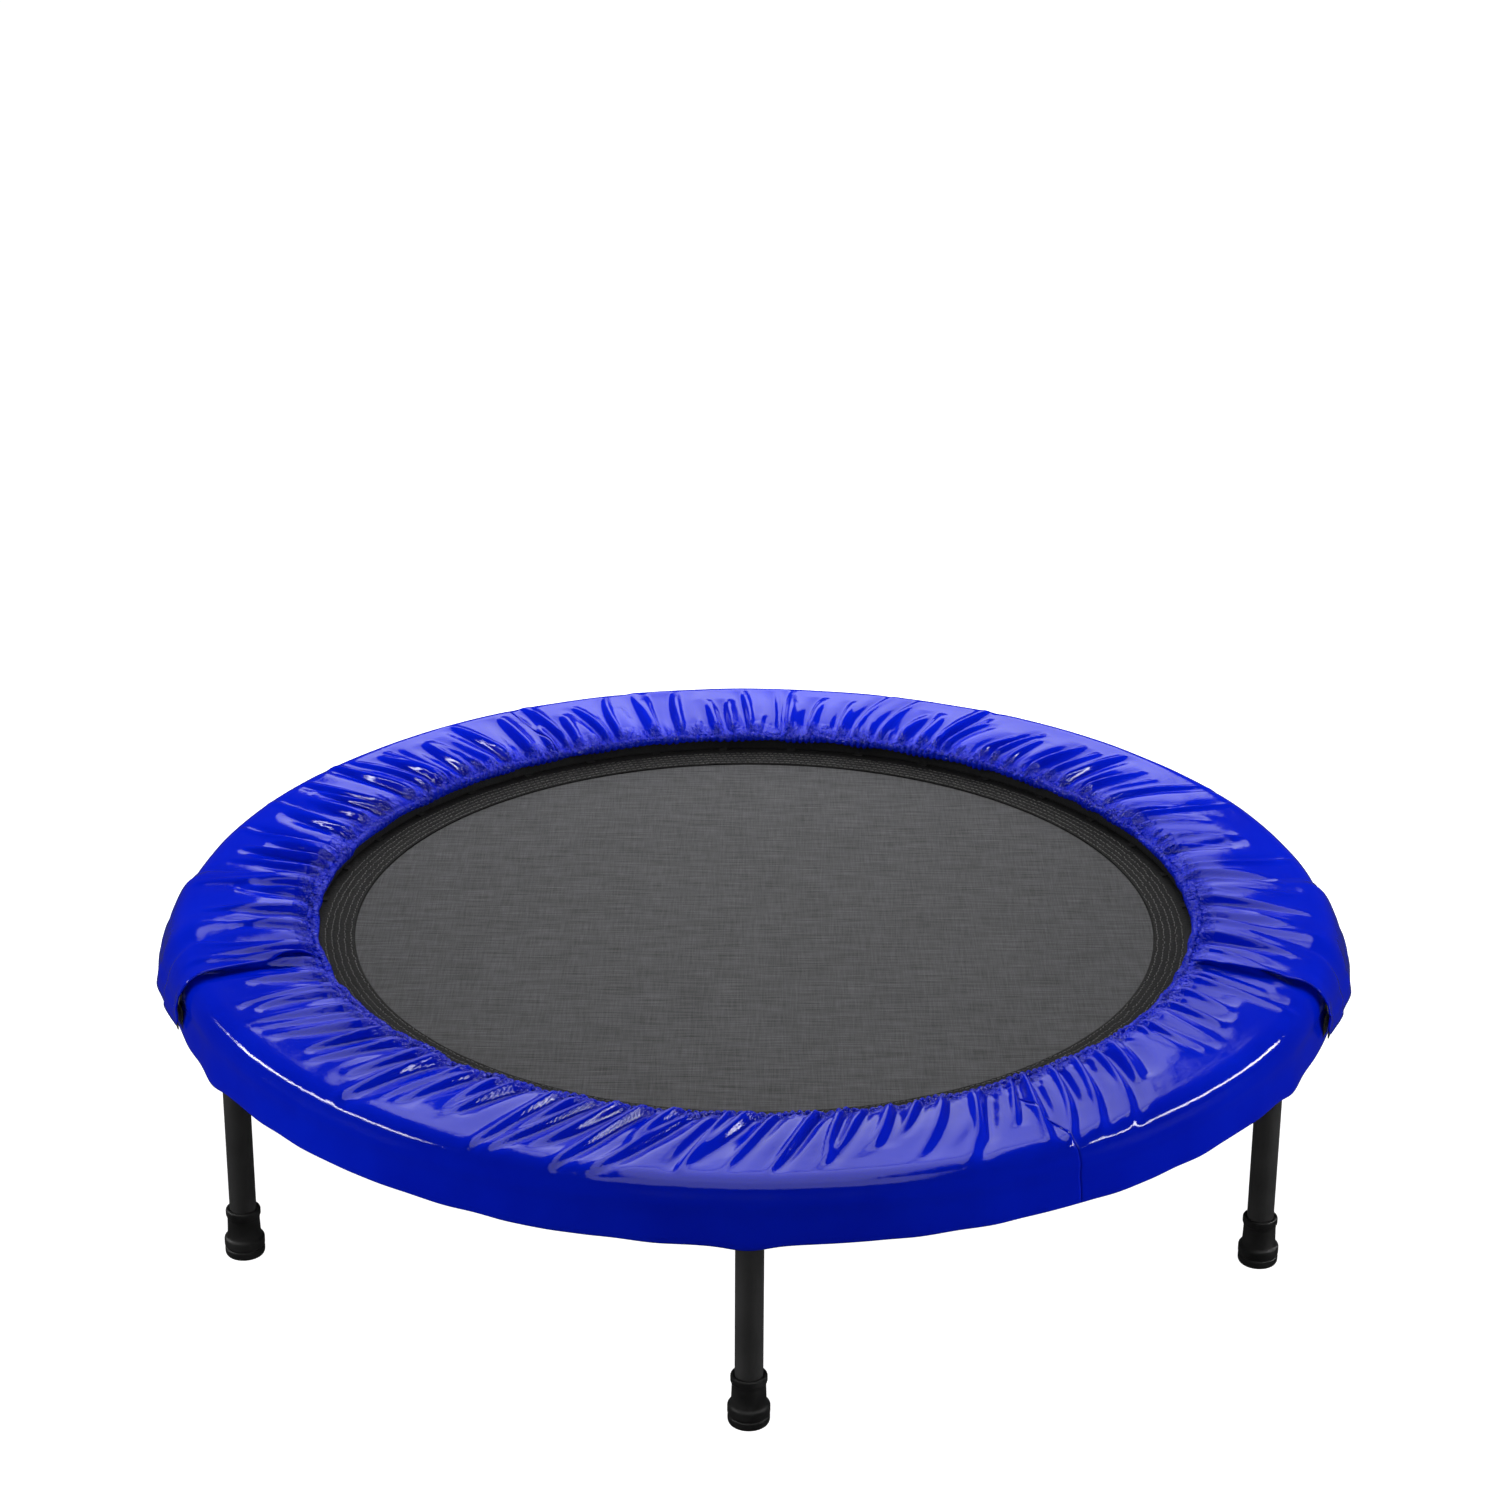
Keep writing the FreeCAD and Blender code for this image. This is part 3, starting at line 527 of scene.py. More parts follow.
def fold_lift(angle, reach):
    """How far the vinyl stands off the pad, for angles and distances out from the seam."""
    lift = np.zeros(angle.shape)
    columns = angle[0]
    for start, lean, curl, length, depth, width, hand in FOLDS:
        near = np.abs((columns - start + math.pi) % TAU - math.pi) < FOLD_SWEEP
        if not near.any():
            continue
        out = reach[:, near]
        radius = SEAM_R + out
        travel = np.clip(out / length, 0, 1)
        centre = start - np.tan(lean + curl * travel) * np.log(radius / SEAM_R)
        off = ((angle[:, near] - centre + math.pi) % TAU - math.pi) * radius
        half = width * (0.42 + 1.00 * np.sqrt(travel) - 0.42 * travel)
        u = hand * off / half
        u = np.where(u < 0, u * 2.1, u * 0.85)  # steeper on the side that leans over
        strength = (0.30 + 0.70 * smooth(out / 0.010)) * (1 - travel) ** 0.65
        crease = -np.exp(-(u**2))
        ridge = 0.85 * np.exp(-(((u + 2.1) / 1.3) ** 2))
        lift[:, near] += depth * strength * (crease + ridge)
    plateau = 0.0014 * smooth(reach / 0.016) * (1 - smooth((reach - 0.050) / 0.052))
    fine = 0.0025 * np.exp(-reach / 0.009) * pucker(angle)
    return plateau + fine + FOLD_LIMIT * np.tanh(lift / FOLD_LIMIT)


def cover_section(top_rows=41):
    """The cover's section from the seam, over the top and the rim, down to the hem.

    Returns radii, heights, the outward direction of each point, and the distance from the seam.
    """
    reach = TOP_REACH * np.linspace(0, 1, top_rows) ** 1.35
    top = np.stack(
        [SEAM_R + reach, COVER_TOP - (COVER_TOP - SEAM_Z) * np.exp(-reach / SHOULDER)], -1
    )
    turn = np.linspace(90, 0, 12)[1:]
    rim = np.stack(
        [
            COVER_R - RIM + RIM * np.cos(np.radians(turn)),
            COVER_TOP - RIM + RIM * np.sin(np.radians(turn)),
        ],
        -1,
    )
    drop = np.linspace(0, 1, 9)[1:]
    bow = -0.0010 * np.sin(math.pi * drop)
    hem_r = COVER_R + HEM_OUT
    wall = np.stack(
        [
            COVER_R + bow + HEM_OUT * smooth(drop * 1.2),
            COVER_TOP - RIM - (COVER_TOP - RIM - COVER_LOW) * drop,
        ],
        -1,
    )
    turn = np.radians(np.linspace(0, -200, 7)[1:])
    hem = np.stack(
        [
            hem_r - HEM_RADIUS + HEM_RADIUS * np.cos(turn),
            COVER_LOW + HEM_RADIUS * np.sin(turn),
        ],
        -1,
    )
    tuck = [(SEAM_R - 0.0028, SEAM_Z - 0.0022)]
    line = np.concatenate([tuck, top, rim, wall, hem])
    ahead = np.gradient(line, axis=0)
    ahead /= np.linalg.norm(ahead, axis=1)[:, None]
    out = np.stack([-ahead[:, 1], ahead[:, 0]], -1)
    steps = np.linalg.norm(np.diff(line[1:], axis=0), axis=1)
    return line[:, 0], line[:, 1], out, np.concatenate([[0, 0], np.cumsum(steps)])


# Each surface has its own seed, so that one surface's waves don't depend on another's.
WALL_SEED, TOP_SEED, CASING_SEED, FOAM_SEED, STRAP_SEED = 5, 6, 8, 12, 15
LEG_DROOP, LEG_DROOP_WIDTH = 0.0028, 0.020  # how the wall hangs lower over each leg
LEG_BULGE = 0.0012


def cover_points(angle, section):
    """The cover's surface at the given angles, one column for each."""
    radius, height, out, travel = section
    angle, reach = np.meshgrid(angle, travel)
    lift = fold_lift(angle, reach)
    turn, across = angle / TAU, np.clip(reach / 0.16, 0, 1)
    top_waves = hills(np.random.default_rng(TOP_SEED), turn, across, 70, 4)
    lift += 0.0005 * smooth(reach / 0.02) * top_waves
    down = smooth((reach - TOP_REACH - RIM) / 0.03)
    lift += 0.0005 * down * hills(np.random.default_rng(WALL_SEED), turn, across, 110, 2)
    hang = np.zeros_like(angle)
    for leg_angle in LEG_NAMES:
        off = ((angle - math.radians(leg_angle) + math.pi) % TAU - math.pi) * COVER_R
        bulge = np.exp(-((off / LEG_DROOP_WIDTH) ** 2)) * down
        lift += LEG_BULGE * bulge
        hang += LEG_DROOP * bulge
    r = radius[:, None] + out[:, :1] * lift
    z = height[:, None] + out[:, 1:] * lift - hang
    return turned(r, angle, z)


COLUMNS_PER_DEGREE = 4
PANEL_STARTS = {"right": -60, "left": 120}  # each panel covers half the ring
PANEL_GAP = 0.0002


def cover_panel(name, start):
    """Half the cover's ring, cut away outside the notch radius at the hinge."""
    columns = 180 * COLUMNS_PER_DEGREE + 1
    degrees = start + np.arange(columns) / COLUMNS_PER_DEGREE
    degrees[0] += math.degrees(PANEL_GAP / COVER_R)
    degrees[-1] -= math.degrees(PANEL_GAP / COVER_R)
    section = cover_section()
    points = cover_points(np.radians(degrees), section)
    middle = (degrees[:-1] + degrees[1:]) / 2
    beside_fold = np.abs((middle + 90) % 180 - 90) < NOTCH_ANGLE
    outside = section[3][:-1] > NOTCH_R - SEAM_R
    keep = ~(outside[:, None] & beside_fold[None, :])
    obj = grid_mesh(f"cover_top_{name}", points, VINYL, keep=keep)
    solidify(obj, SKIN)
    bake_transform(obj)
    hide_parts("cover_skin_front", "cover_skin_rear")


def casing():
    """The puckered tube along the cover's inner edge, with the elastic inside it."""
    columns, rows = 2160, 16
    angle, around = np.meshgrid(
        np.arange(columns) * TAU / columns, np.arange(rows) * TAU / rows
    )
    slow = hills(np.random.default_rng(CASING_SEED), angle / TAU, around / TAU, 160, 3)
    puff = pucker(angle, 0.55 * np.sin(around) + 0.5 * slow)
    size = CASING_RADIUS * (0.56 + 0.64 * puff + 0.24 * slow)
    r = CASING_R + size * np.cos(around)
    z = CASING_Z + size * np.sin(around) + 0.0007 * slow
    obj = grid_mesh("cover_elastic_casing", turned(r, angle, z), VINYL, True, True)
    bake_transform(obj)
    return obj


def hanging_elastic_and_shade():
    """The black elastic sewn under the casing, gathered up and down its width; it hangs down to the
    mat as a black strip of painted shade, filling the gap where the view would otherwise reach the
    floor.
    """
    columns, rows = 1440, 7
    share = np.linspace(0, 1, rows)
    angle, down = np.meshgrid(np.arange(columns) * TAU / columns, share)
    wave = 0.0005 * pucker(angle) * (0.4 + 0.6 * down)
    height = BAND_HIGH - (BAND_HIGH - BAND_LOW) * down
    outer = turned(BAND_R + BAND_THICK + wave, angle, height)
    inner = turned(BAND_R + wave, angle, height)
    points = np.concatenate([outer, inner[::-1]])
    # Painted shade: this black strip runs from the casing down to the mat and stands in for the
    # shadowed gap between them.
    obj = grid_mesh("inner_elastic_and_shade_strip", points, BLACK_ELASTIC_AND_SHADE, True, True)
    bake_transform(obj)
    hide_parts("inner_elastic_front", "inner_elastic_rear")


def foam_pad(half, side):
    """White foam ring under the vinyl, cut away at the hinge brackets."""
    under_top, under_wall = 0.0070, 0.0038
    outer, top = COVER_R - under_wall, COVER_TOP - under_top
    wall_in = outer - 0.0042
    full = rounded(
        [
            (FOAM_INNER, 0.2070),
            (FOAM_INNER, 0.2084),
            (FOAM_INNER + 0.014, top - 0.0014),
            (COVER_R - RIM, top),
            (outer - 0.005, COVER_TOP - RIM * 0.55),
            (outer, COVER_TOP - RIM),
            (outer, FOAM_LOW + 0.002),
            (wall_in, FOAM_LOW + 0.002),
            (wall_in, FOAM_UNDER),
            (NOTCH_R + 0.004, FOAM_UNDER - 0.0003),
            (FOAM_INNER + 0.004, FOAM_UNDER),
            (FOAM_INNER, 0.2070),
        ],
        0.002,
        4,
    )[:-1]
    cut = full.copy()
    beyond = full[:, 0] > NOTCH_R
    cut[:, 0] = np.minimum(full[:, 0], NOTCH_R)
    order = np.linspace(0, 1, beyond.sum())
    cut[beyond, 1] = top + (FOAM_UNDER - top) * smooth(order * 1.4)
    edge = NOTCH_ANGLE + 0.3
    near = np.linspace(0.05, edge, 8)
    far = np.linspace(edge + 0.02, 180 - edge - 0.02, 230)
    degrees = np.concatenate([near, far, (180 - near)[::-1]])
    angle = np.radians(degrees + (180 if side < 0 else 0))
    notched = (degrees <= edge) | (degrees >= 180 - edge)
    section = np.where(notched[None, :, None], cut[:, None, :], full[:, None, :])
    turn = np.broadcast_to(angle / TAU, section.shape[:2])
    across = np.linspace(0, 1, len(full))[:, None] + 0 * turn
    bumpy = 0.0004 * hills(np.random.default_rng(FOAM_SEED), turn, across, 120, 12)
    points = turned(section[..., 0], angle[None, :], section[..., 1] + bumpy)
    rows, cols = points.shape[:2]
    quads = grid_faces(rows, cols, close_rows=True).reshape(-1, 4)
    caps = []
    for column in (0, cols - 1):
        ring = np.arange(rows) * cols + column
        ring = ring if column else ring[::-1]
        caps += [
            (ring[i], ring[i + 1], ring[-2 - i], ring[-1 - i]) for i in range(rows // 2 - 1)
        ]
    faces = np.concatenate([quads, np.array(caps)])
    obj = make_mesh(f"foam_pad_{half}", points.reshape(-1, 3), faces, FOAM)
    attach(obj, f"{half}_frame")
    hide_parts(f"cover_foam_{half}")


# -------------------------------------------------------------------- flaps

FLAP_EDGE_AT = (0.386, 0.402, COVER_R)  # radii
FLAP_EDGE = (18.0, 18.8, 20.6)  # degrees in front of the fold line at those radii
FLARE_AT = (-5, -1, 0.5, 5, 10, 15, 19, 21)
FLARE = (0.008, 0.014, 0.015, 0.014, 0.013, 0.010, 0.006, 0.005)
FLAP_COLUMNS, FLAP_INNER = 150, 0.3925
FLAP_GAP = 0.0012  # between the cover and the lining
LINING_THICK, LINING_INSET = 0.0030, 0.017
CORNER = 0.018  # radius of the flap's lower front corner
FLAP_TUCK = 0.006  # how far the flap's lower edge turns in


def flap_surface(side, raise_by, inset=0.0, top_rows=44):
    """A sheet over the hinge bracket; bearings are degrees in front of the fold line."""
    radius, height, out, travel = cover_section(top_rows)
    on_flap = (radius > FLAP_INNER + inset) | (travel > TOP_REACH)
    above_hem = height > FLAP_LOW + inset - 0.0005
    rows = on_flap & (above_hem | (travel < TOP_REACH + RIM))
    rows &= np.arange(len(radius)) < len(radius) - 6
    radius, height, out, travel = radius[rows], height[rows], out[rows], travel[rows]
    share = np.linspace(0, 1, FLAP_COLUMNS)
    edge_at = np.interp(radius, FLAP_EDGE_AT, FLAP_EDGE)[:, None]
    front = edge_at - math.degrees(inset / COVER_R)
    rear = -FLAP_REAR + math.degrees(inset / COVER_R)
    bearing = rear + (front - rear) * share[None, :]
    angle = -np.radians(bearing) if side > 0 else math.pi + np.radians(bearing)
    reach = np.broadcast_to(travel[:, None], angle.shape)
    lift = np.zeros(angle.shape)
    for row in range(len(radius)):
        lift[row] = fold_lift(angle[row : row + 1], reach[row : row + 1])[0]
    outer = smooth((reach - 0.035) / 0.05)
    seam = smooth((bearing + FLAP_REAR) / 2.5)
    edge = smooth(1 - (edge_at - bearing) / 2.2)
    lift = lift * (1 - 0.35 * outer) + raise_by * (0.35 + 0.65 * seam)
    lift += 0.0014 * edge * smooth(reach / 0.05)
    # A long soft crease across the flap, and a looser bulge behind it.
    crease_at = np.interp(radius, (0.43, 0.50), (9.0, 13.5))[:, None]
    band = smooth((reach - 0.03) / 0.03)
    off = (bearing - crease_at) / np.where(bearing < crease_at, 2.4, 0.8)
    lift += band * (0.0022 * np.exp(-((off + 1.3) ** 2)) - 0.0016 * np.exp(-(off**2)))
    down = np.clip((COVER_TOP - RIM * 0.5 - height) / (COVER_TOP - RIM * 0.5 - FLAP_LOW), 0, 1)
    flare = np.interp(bearing, FLARE_AT, FLARE) * down[:, None] ** 1.3
    sag = 0.0006 * np.sin(np.radians(bearing) * 31) * down[:, None]
    tuck = FLAP_TUCK * smooth((down[:, None] - 0.5) / 0.5)
    from_edge = np.clip(np.radians(edge_at - bearing) * COVER_R / CORNER, 0, 1)
    corner = CORNER * (1 - np.sqrt(1 - (1 - from_edge) ** 2))
    r = radius[:, None] + out[:, :1] * lift + flare + sag - tuck
    z = height[:, None] + out[:, 1:] * lift + corner * down[:, None]
    return turned(r, angle, z)


def flap(name, side):
    """The vinyl flap over one hinge bracket, with its white lining, hook tab and loop patch."""
    body = f"flap_{name}"
    raise_by = FLAP_GAP + LINING_THICK
    skin = grid_mesh(f"flap_vinyl_{name}", flap_surface(side, raise_by + SKIN), VINYL)
    solidify(skin, SKIN * 1.3)
    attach(skin, body)
    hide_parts(f"flap_skin_{name}")
    section = cover_section()[3][-1] - (FLAP_INNER - SEAM_R)
    surface = flap_surface(side, raise_by - 0.0004, LINING_INSET)
    lining = grid_mesh(f"flap_foam_{name}", surface, LINING)
    solidify(lining, LINING_THICK)
    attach(lining, body)
    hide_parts(f"flap_lining_{name}")
    for piece in (skin, lining):
        if side > 0:
            piece.data.flip_normals()
    paint(NODES[f"flap_tab_{name}"], HOOKS)
    paint(NODES[f"cover_patch_{name}"], LOOPS)


# ---------------------------------------------------------------------- mat


def mat():
    """The jumping mat, one woven disc across the fold line, with closer rows there."""
    steps = np.radians(np.arange(-90, 91, 2.0))
    rows = np.concatenate([MAT_R * np.sin(steps), np.arange(-7, 8, 1) * 0.001])
    rows = np.unique(np.round(rows, 6))
    share = np.sin(np.radians(np.linspace(-90, 90, 73)))
    y = np.repeat(rows[:, None], len(share), 1)
    x = np.sqrt(np.maximum(MAT_R**2 - y**2, 0)) * share
    sag = -0.0006 * np.cos(np.clip(np.hypot(x, y) / MAT_R, 0, 1) * math.pi / 2)
    points = np.stack([x, y, MAT_TOP + sag], -1)
    obj = grid_mesh("jumping_mat", points[::-1], MAT_CLOTH)
    weld = obj.modifiers.new("weld", "WELD")
    weld.merge_threshold = 1e-5
    apply_modifiers(obj)
    solidify(obj, MAT_THICK)
    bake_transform(obj)
    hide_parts("mat_front", "mat_rear")


STITCH_ROWS = (0.3535, 0.3590, 0.3645, 0.3700, 0.3755)
STITCH_STEP, STITCH_LENGTH, STITCH_RADIUS = 0.0052, 0.0040, 0.00042


def edge_webbing():
    """The strap sewn round the mat's edge, drawn down along each row of stitches."""
    across = np.linspace(WEBBING_INNER, MAT_R, 34)
    fine = np.radians(np.arange(-1.4, 1.45, 0.1))  # closer columns along the fold line
    angle = np.concatenate([np.arange(720) * TAU / 720, fine % TAU, fine + math.pi])
    angle = np.unique(np.round(angle, 6))
    dip = sum(np.exp(-(((across - row) / 0.0008) ** 2)) for row in STITCH_ROWS)
    ends = np.minimum(smooth((across - WEBBING_INNER) / 0.0012), smooth((MAT_R - across) / 0.0012))
    height = MAT_TOP + 0.0002 + (WEBBING_TOP - MAT_TOP) * ends - 0.00045 * dip * ends
    turn = np.broadcast_to(angle / TAU, (len(across), len(angle)))
    share = (across[:, None] - across[0]) / 0.04
    rough = hills(np.random.default_rng(STRAP_SEED), turn, share, 300, 9)
    top = turned(across[:, None], angle, height[:, None] + 0.00022 * rough * ends[:, None])
    base = turned(across[::-1, None], angle, MAT_TOP + 0.0001)
    points = np.concatenate([top, base[1:-1]])
    obj = grid_mesh("mat_edge_strap", points[::-1], WEBBING, True, True)
    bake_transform(obj)
    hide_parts("mat_edge_webbing_front", "mat_edge_webbing_rear")


def edge_stitches():
    """Rows of thread that hold the strap to the mat."""
    rings = np.array([-0.5, -0.36, 0.36, 0.5])
    fat = np.array([0.35, 1.0, 1.0, 0.35]) * STITCH_RADIUS
    sides = 5
    turn = np.arange(sides) * TAU / sides
    single = np.stack(
        [
            np.repeat(rings[:, None] * STITCH_LENGTH, sides, 1),
            fat[:, None] * np.cos(turn),
            fat[:, None] * np.sin(turn),
        ],
        -1,
    ).reshape(-1, 3)
    quads = grid_faces(len(rings), sides, close_cols=True).reshape(-1, 4)
    points, faces, count = [], [], 0
    for radius in STITCH_ROWS:
        for angle in np.arange(0, TAU, STITCH_STEP / radius):
            tilt = angle + math.pi / 2 + rng.normal(0, 0.16)
            place = radius + rng.normal(0, 0.0004)
            middle = (place * math.cos(angle), place * math.sin(angle), WEBBING_TOP - 0.0001)
            points.append(swung(single, tilt, middle))
            faces.append(quads + count)
            count += len(single)
    obj = make_mesh("mat_edge_stitching", np.concatenate(points), np.concatenate(faces), THREAD)
    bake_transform(obj)


# ------------------------------------------------------------------ springs

HALF_STARTS = {"front": 180, "rear": 0}  # degrees
SPRINGS_PER_HALF = 18
SPRING_STEP = 10.0  # degrees
SPRING_FIRST = 5.0
EYE_R, EYE_MAJOR = 0.4094, 0.0055  # the eye on the wire ring
COIL_START, COIL_END, COIL_RADIUS = 0.4150, 0.4670, 0.0058
COIL_TURNS, TIP_R, WIRE = 20, 0.4813, 0.0012


def spring_angle(start, number):
    """Where a half's spring lies; the straps lie at the same angles."""
    return math.radians(start + SPRING_FIRST + number * SPRING_STEP)


def spring_path():
    """The wire's line in the spring's own plane: an eye, the coil, and the hook in the tube."""
    turn = np.radians(np.linspace(20, 350, 22))
    eye = np.stack([EYE_R + EYE_MAJOR * np.cos(turn), 0 * turn, EYE_MAJOR * np.sin(turn)], -1)
    turn = np.linspace(0, COIL_TURNS, COIL_TURNS * 14) * TAU
    share = turn / turn[-1]
    opening = COIL_RADIUS * smooth(np.minimum(share * 22, (1 - share) * 18) + 0.05)
    coil = np.stack(
        [
            COIL_START + 0.001 + (COIL_END - COIL_START) * share,
            opening * np.sin(turn),
            -opening * np.cos(turn),
        ],
        -1,
    )
    hook = np.array(
        [
            (COIL_END + 0.004, 0, 0),
            (TIP_R - 0.004, 0, 0),
            (TIP_R - 0.0012, 0, 0.0004),
            (TIP_R, 0, 0.0016),
            (TIP_R, 0, 0.0040),
        ]
    )
    return np.concatenate([eye, coil, hook])


def springs():
    """The coiled springs; each stretches between the ring tube and the mat."""
    sides = 6
    rings = tube(spring_path(), WIRE, sides)
    flat = rings.reshape(-1, 3)
    quads = grid_faces(len(rings), sides, close_cols=True).reshape(-1, 4)
    first_cap = np.array([(0, 1, 2, 3), (0, 3, 4, 5)])
    last_cap = first_cap[:, ::-1] + len(flat) - sides
    quads = np.concatenate([quads, first_cap, last_cap])
    for half, start in HALF_STARTS.items():
        for number in range(SPRINGS_PER_HALF):
            angle = spring_angle(start, number)
            points = swung(flat, angle, (0, 0, TUBE_Z))
            obj = make_mesh(f"spring_{half}_{number + 1:02d}", points, quads, ZINC)
            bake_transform(obj)
            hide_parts(f"springs_{half}")


STRAP_INNER, STRAP_FOLD, STRAP_TOP_INNER = 0.366, 0.3934, 0.381  # radii
STRAP_THICK, STRAP_HALF_WIDTH = 0.0010, 0.0040


def strap_loop():
    """One strap's points and faces, folded round its wire ring, at angle 0."""
    low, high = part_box("ring_loops_front")
    gap = (high.z - low.z) / 2 - STRAP_THICK / 2
    corners = [(STRAP_INNER, -gap), (STRAP_FOLD, -gap), (STRAP_FOLD, gap), (STRAP_TOP_INNER, gap)]
    line = rounded(corners, 0.0022, 6)
    ahead = np.gradient(line, axis=0)
    ahead /= np.linalg.norm(ahead, axis=1)[:, None]
    out = np.stack([ahead[:, 1], -ahead[:, 0]], -1) * STRAP_THICK / 2
    loop = np.concatenate([line + out, (line - out)[::-1]])
    across = np.array([-1, -0.92, -0.5, 0, 0.5, 0.92, 1]) * STRAP_HALF_WIDTH
    radius, aside = np.meshgrid(loop[:, 0], across, indexing="ij")
    height = np.repeat(loop[:, 1:], len(across), 1) + TUBE_Z
    points = np.stack([radius, aside, height], -1).reshape(-1, 3)
    quads = grid_faces(len(loop), len(across), close_rows=True).reshape(-1, 4)
    rows = len(line)
    edges = []
    for column in (0, len(across) - 1):
        for i in range(rows - 1):
            corner = [i, i + 1, 2 * rows - 2 - i, 2 * rows - 1 - i]
            corner = corner if column else corner[::-1]
            edges.append([k * len(across) + column for k in corner])
    return points, np.concatenate([quads, np.array(edges)])


def ring_straps():
    """Folded straps that hold the wire rings to the mat's edge."""
    single, quads = strap_loop()
    numbers = range(SPRINGS_PER_HALF)
    faces = np.concatenate([quads + number * len(single) for number in numbers])
    for half, start in HALF_STARTS.items():
        points = np.concatenate([swung(single, spring_angle(start, n)) for n in numbers])
        obj = make_mesh(f"ring_straps_{half}", points, faces, WEBBING)
        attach(obj, f"mat_{half}")
        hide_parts(f"ring_loops_{half}")


# --------------------------------------------------------- frame, legs, feet


def paint(obj, material):
    """One look for a whole piece."""
    obj.data.materials.clear()
    obj.data.materials.append(material)


FOOT_ROUNDING, FOOT_COLUMNS = 0.0011, 72


def foot(name):
    """A moulded rubber foot, turned about its leg."""
    low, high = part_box(f"foot_{name}")
    centre = (low + high) / 2
    base = (high.x - low.x) / 2
    leg_low, leg_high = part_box(f"leg_tube_{name}")
    grip = (leg_high.x - leg_low.x) / 2
    top = high.z
    corners = [  # radius and height, from the hollow underneath up to the leg's tube
        (0.0, 0.0008),
        (0.0075, 0.0008),
        (0.0082, 0.0),
        (base - 0.0012, 0.0),
        (base - 0.0002, 0.0022),
        (base - 0.0002, 0.0066),
        (base - 0.0012, 0.0074),
        (base - 0.0012, 0.0084),
        (base, 0.0092),
        (base, 0.0158),
        (base - 0.0022, 0.0176),
        (base - 0.0030, 0.0215),
        (base - 0.0034, 0.0335),
        (base - 0.0030, 0.0362),
        (base - 0.0023, 0.0372),
        (base - 0.0023, top - 0.0012),
        (base - 0.0032, top),
        (grip + 0.0006, top),
        (grip - 0.0002, top - 0.0010),
    ]
    line = rounded(corners, FOOT_ROUNDING, 5)
    around = np.arange(FOOT_COLUMNS) * TAU / FOOT_COLUMNS
    points = turned(line[:, :1], around, line[:, 1:])
    points = points + np.array((centre.x, centre.y, 0))
    obj = grid_mesh(f"foot_cap_{name}", points[::-1], RUBBER, close_cols=True)
    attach(obj, f"leg_{name}")
    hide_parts(f"foot_{name}")


KEPT_NODES = {
    "frame_tube": POWDER,
    "leg_mounts": POWDER,
    "hinge_channel": POWDER,
    "hinge_yoke": POWDER,
    "leg_tube": POWDER,
    "leg_insert": ZINC,
    "pivot_": ZINC,
    "wire_rings": ZINC,
    "hem_elastic": BLACK_ELASTIC_AND_SHADE,
}


def finish_kept_nodes():
    """Looks for the frame's own shapes, which stay as they are."""
    for name, obj in NODES.items():
        for prefix, material in KEPT_NODES.items():
            if name.startswith(prefix):
                paint(obj, material)


# ------------------------------------------------------------ the whole part

for half_name, half_side in (("front", -1), ("rear", 1)):
    foam_pad(half_name, half_side)
edge_casing = casing()
# the elastic under the casing, drawn as a black strip of painted shade
hanging_elastic_and_shade()
for panel_name, panel_start in PANEL_STARTS.items():
    cover_panel(panel_name, panel_start)
for flap_name, flap_side in (("left", -1), ("right", 1)):
    flap(flap_name, flap_side)
mat()
edge_webbing()
edge_stitches()
springs()
ring_straps()
for leg_name in LEG_NAMES.values():
    foot(leg_name)
finish_kept_nodes()

# ------------------------------------------------- floor, light and camera


def aimed(obj, at):
    """Turn a light to face a point."""
    obj.rotation_mode = "QUATERNION"
    obj.rotation_quaternion = (Vector(at) - obj.location).to_track_quat("-Z", "Y")


def area_light(name, place, at, size, power, in_reflections=True):
    """A flat light facing a point; it can be left out of reflections."""
    data = bpy.data.lights.new(name, "AREA")
    data.shape = "RECTANGLE"
    data.size, data.size_y = size
    data.energy = power
    obj = bpy.data.objects.new(name, data)
    bpy.context.scene.collection.objects.link(obj)
    obj.location = place
    aimed(obj, at)
    obj.visible_glossy = in_reflections
    return obj


FLOOR_HALF, BACKDROP_R, BACKDROP_TOP = 14.0, 12.0, 12.0


def floor():
    """A plain pale floor and a round backdrop; neither mirrors in the vinyl."""
    made = Nodes("pale_floor")
    tone = made.ramp(made.noise(0.8, 2.0), grey(0.98), grey(1.0))
    made.colour(made.ramp(made.noise(0.8, 2.0), grey(0.40), grey(0.44)))
    made.set(Roughness=0.9, IOR=1.2, Emission_Strength=1.05)
    made.link(tone, made.shader.inputs["Emission Color"])
    corners = np.array([(-1, -1, 0), (1, -1, 0), (1, 1, 0), (-1, 1, 0)]) * FLOOR_HALF
    flat = make_mesh("floor", corners, np.array([(0, 1, 2, 3)]), made.material)
    flat.location.z = -0.0004
    turn = np.arange(64) * TAU / 64
    wall = np.stack([turned(BACKDROP_R, turn, height) for height in (-0.001, BACKDROP_TOP)])
    wall = grid_mesh("backdrop", wall, made.material, close_cols=True)
    wall.visible_shadow = False
    for obj in (flat, wall):
        obj.visible_diffuse = False
        obj.visible_glossy = False


def strip_light(name, start, end, at, width, power):
    """A long narrow light between two points, seen only in reflections."""
    start, end = Vector(start), Vector(end)
    length = (end - start).length
    strip = area_light(name, (start + end) / 2, at, (length, width), power)
    along = (end - start).normalized()
    back = (strip.location - Vector(at)).normalized()
    back = (back - along * back.dot(along)).normalized()
    turn = Matrix((along, back.cross(along), back)).transposed()
    strip.rotation_quaternion = turn.to_quaternion()
    strip.visible_diffuse = False


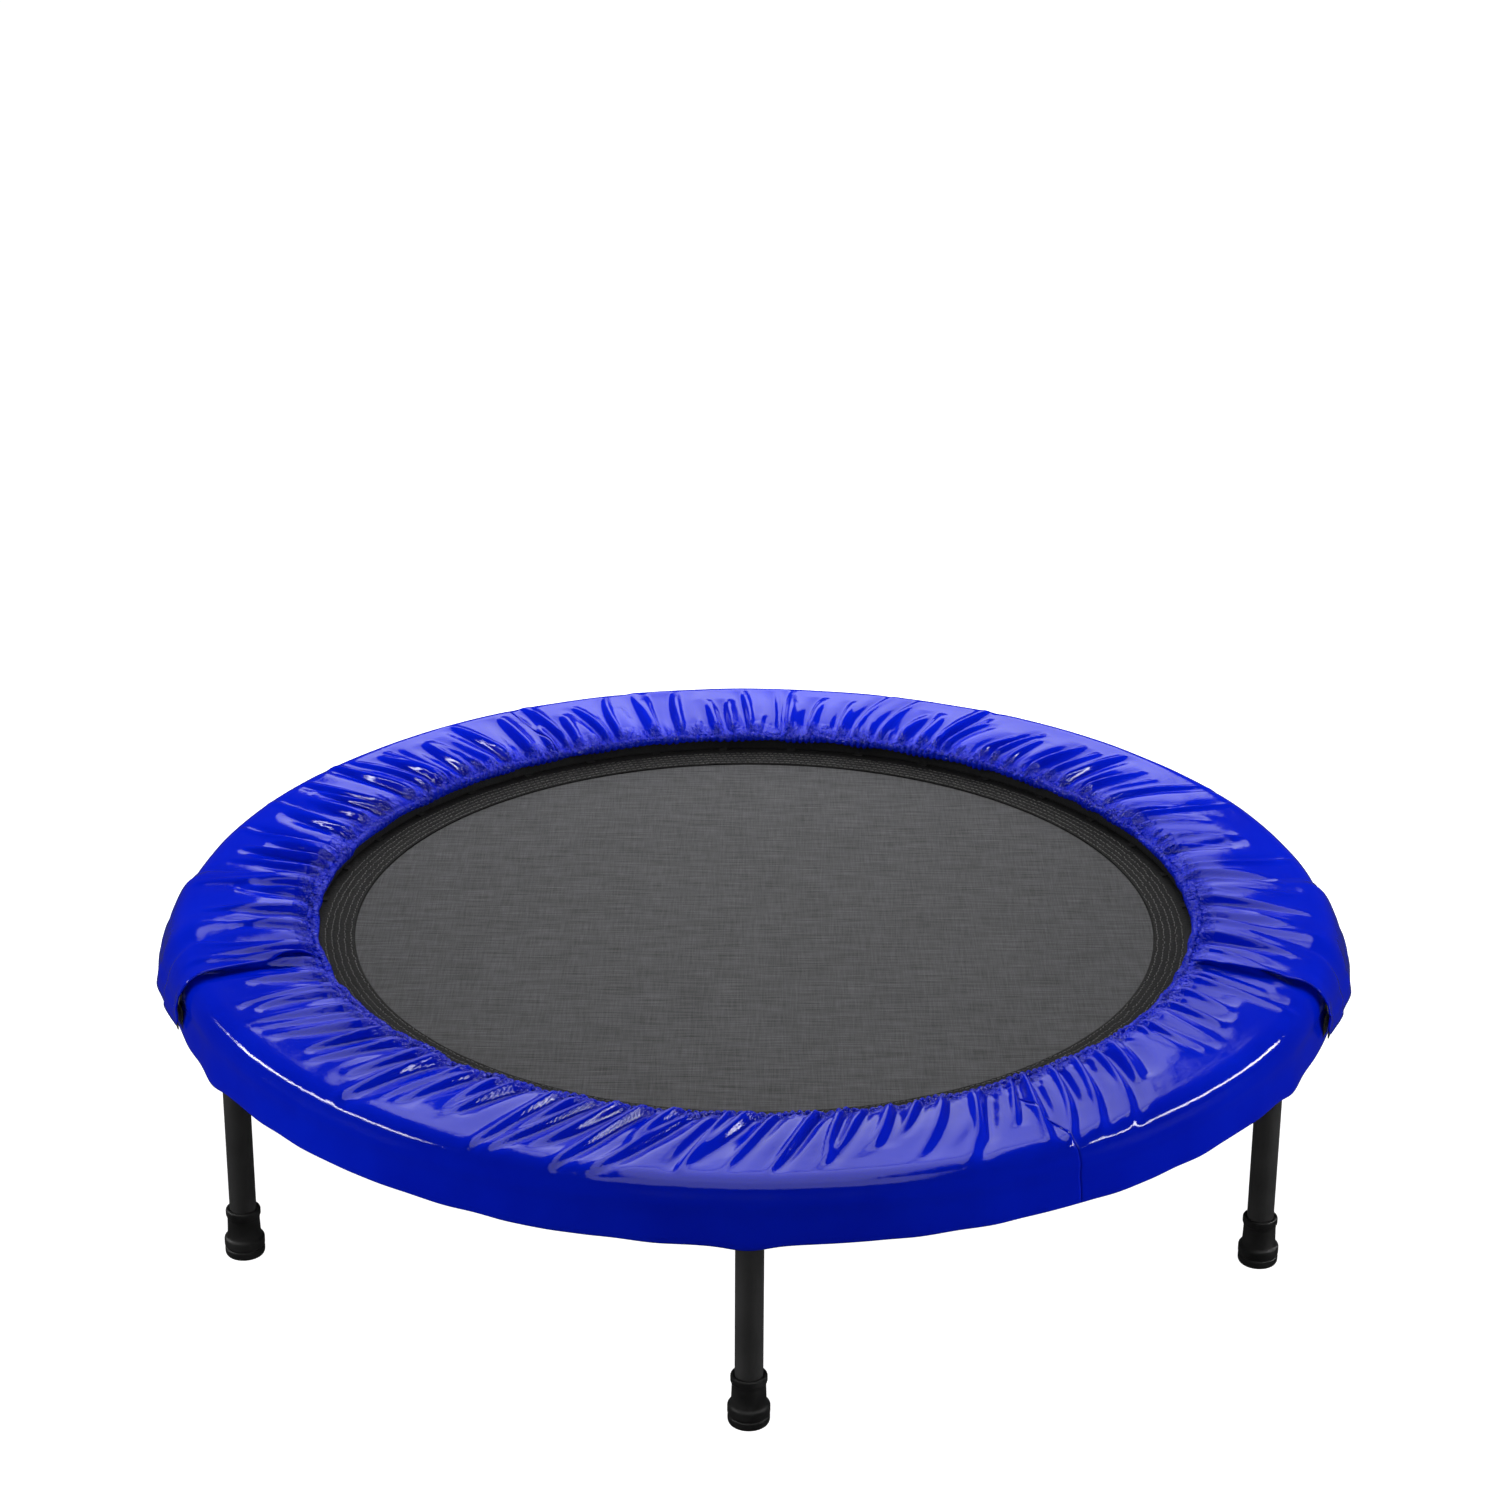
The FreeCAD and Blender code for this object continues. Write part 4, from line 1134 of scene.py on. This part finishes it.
def lights():
    """Soft light from behind and above, fill from the front and sides, long lights for shine."""
    area_light("softbox_rear", (0, 2.60, 1.50), (0, -0.2, 0.2), (1.60, 1.64), 12.5)
    area_light("overhead", (0, 1.70, 1.9), (0, 0.10, 0.2), (1.7, 1.7), 86, in_reflections=False)
    area_light("front_fill", (0, -3.2, 1.3), (0, -0.4, 0.15), (2.4, 1.2), 20, in_reflections=False)
    strip_light("canopy", (0, 2.05, 2.25), (0, -1.0, 3.2), (0, -0.3, 0.2), 1.5, 34)
    strip_light("canopy_front", (0, -1.0, 3.2), (0, -2.2, 2.75), (0, -0.4, 0.2), 2.8, 20)
    for side, name in ((-1, "left"), (1, "right")):
        start, end = (side * 2.0, -0.84, 2.0), (side * 2.0, 0.70, 1.0)
        strip_light(f"strip_{name}", start, end, (side * 0.3, -0.35, 0.2), 0.16, 26)
        place, at = (side * 3.1, -0.7, 0.55), (side * 0.4, -0.1, 0.15)
        area_light(f"fill_{name}", place, at, (2.0, 1.2), 64, in_reflections=False)
    world = bpy.data.worlds.new("studio")
    world.use_nodes = True
    back = world.node_tree.nodes["Background"]
    back.inputs["Color"].default_value = (0.035, 0.035, 0.037, 1)
    back.inputs["Strength"].default_value = 1.0
    bpy.context.scene.world = world


CAMERA_PLACE = (0, -2.803, 1.540)
CAMERA_DOWN, CAMERA_ROLL, CAMERA_YAW = 22.88, 0.345, 0.241  # degrees
CAMERA_LENS = 84.55  # mm, on a sensor 36 mm wide


def camera():
    """A long lens in front of the trampoline, looking a little down."""
    data = bpy.data.cameras.new("camera")
    data.sensor_width = 36.0
    data.lens = CAMERA_LENS
    data.shift_x = -0.0036
    data.clip_end = 60
    obj = bpy.data.objects.new("camera", data)
    bpy.context.scene.collection.objects.link(obj)
    pitch = Matrix.Rotation(math.radians(90 - CAMERA_DOWN), 4, "X")
    roll = Matrix.Rotation(math.radians(CAMERA_ROLL), 4, "Z")
    yaw = Matrix.Rotation(math.radians(CAMERA_YAW), 4, "Z")
    obj.matrix_world = yaw @ Matrix.Translation(CAMERA_PLACE) @ pitch @ roll
    bpy.context.scene.camera = obj


floor()
lights()
camera()
bpy.context.scene.view_settings.view_transform = "Standard"
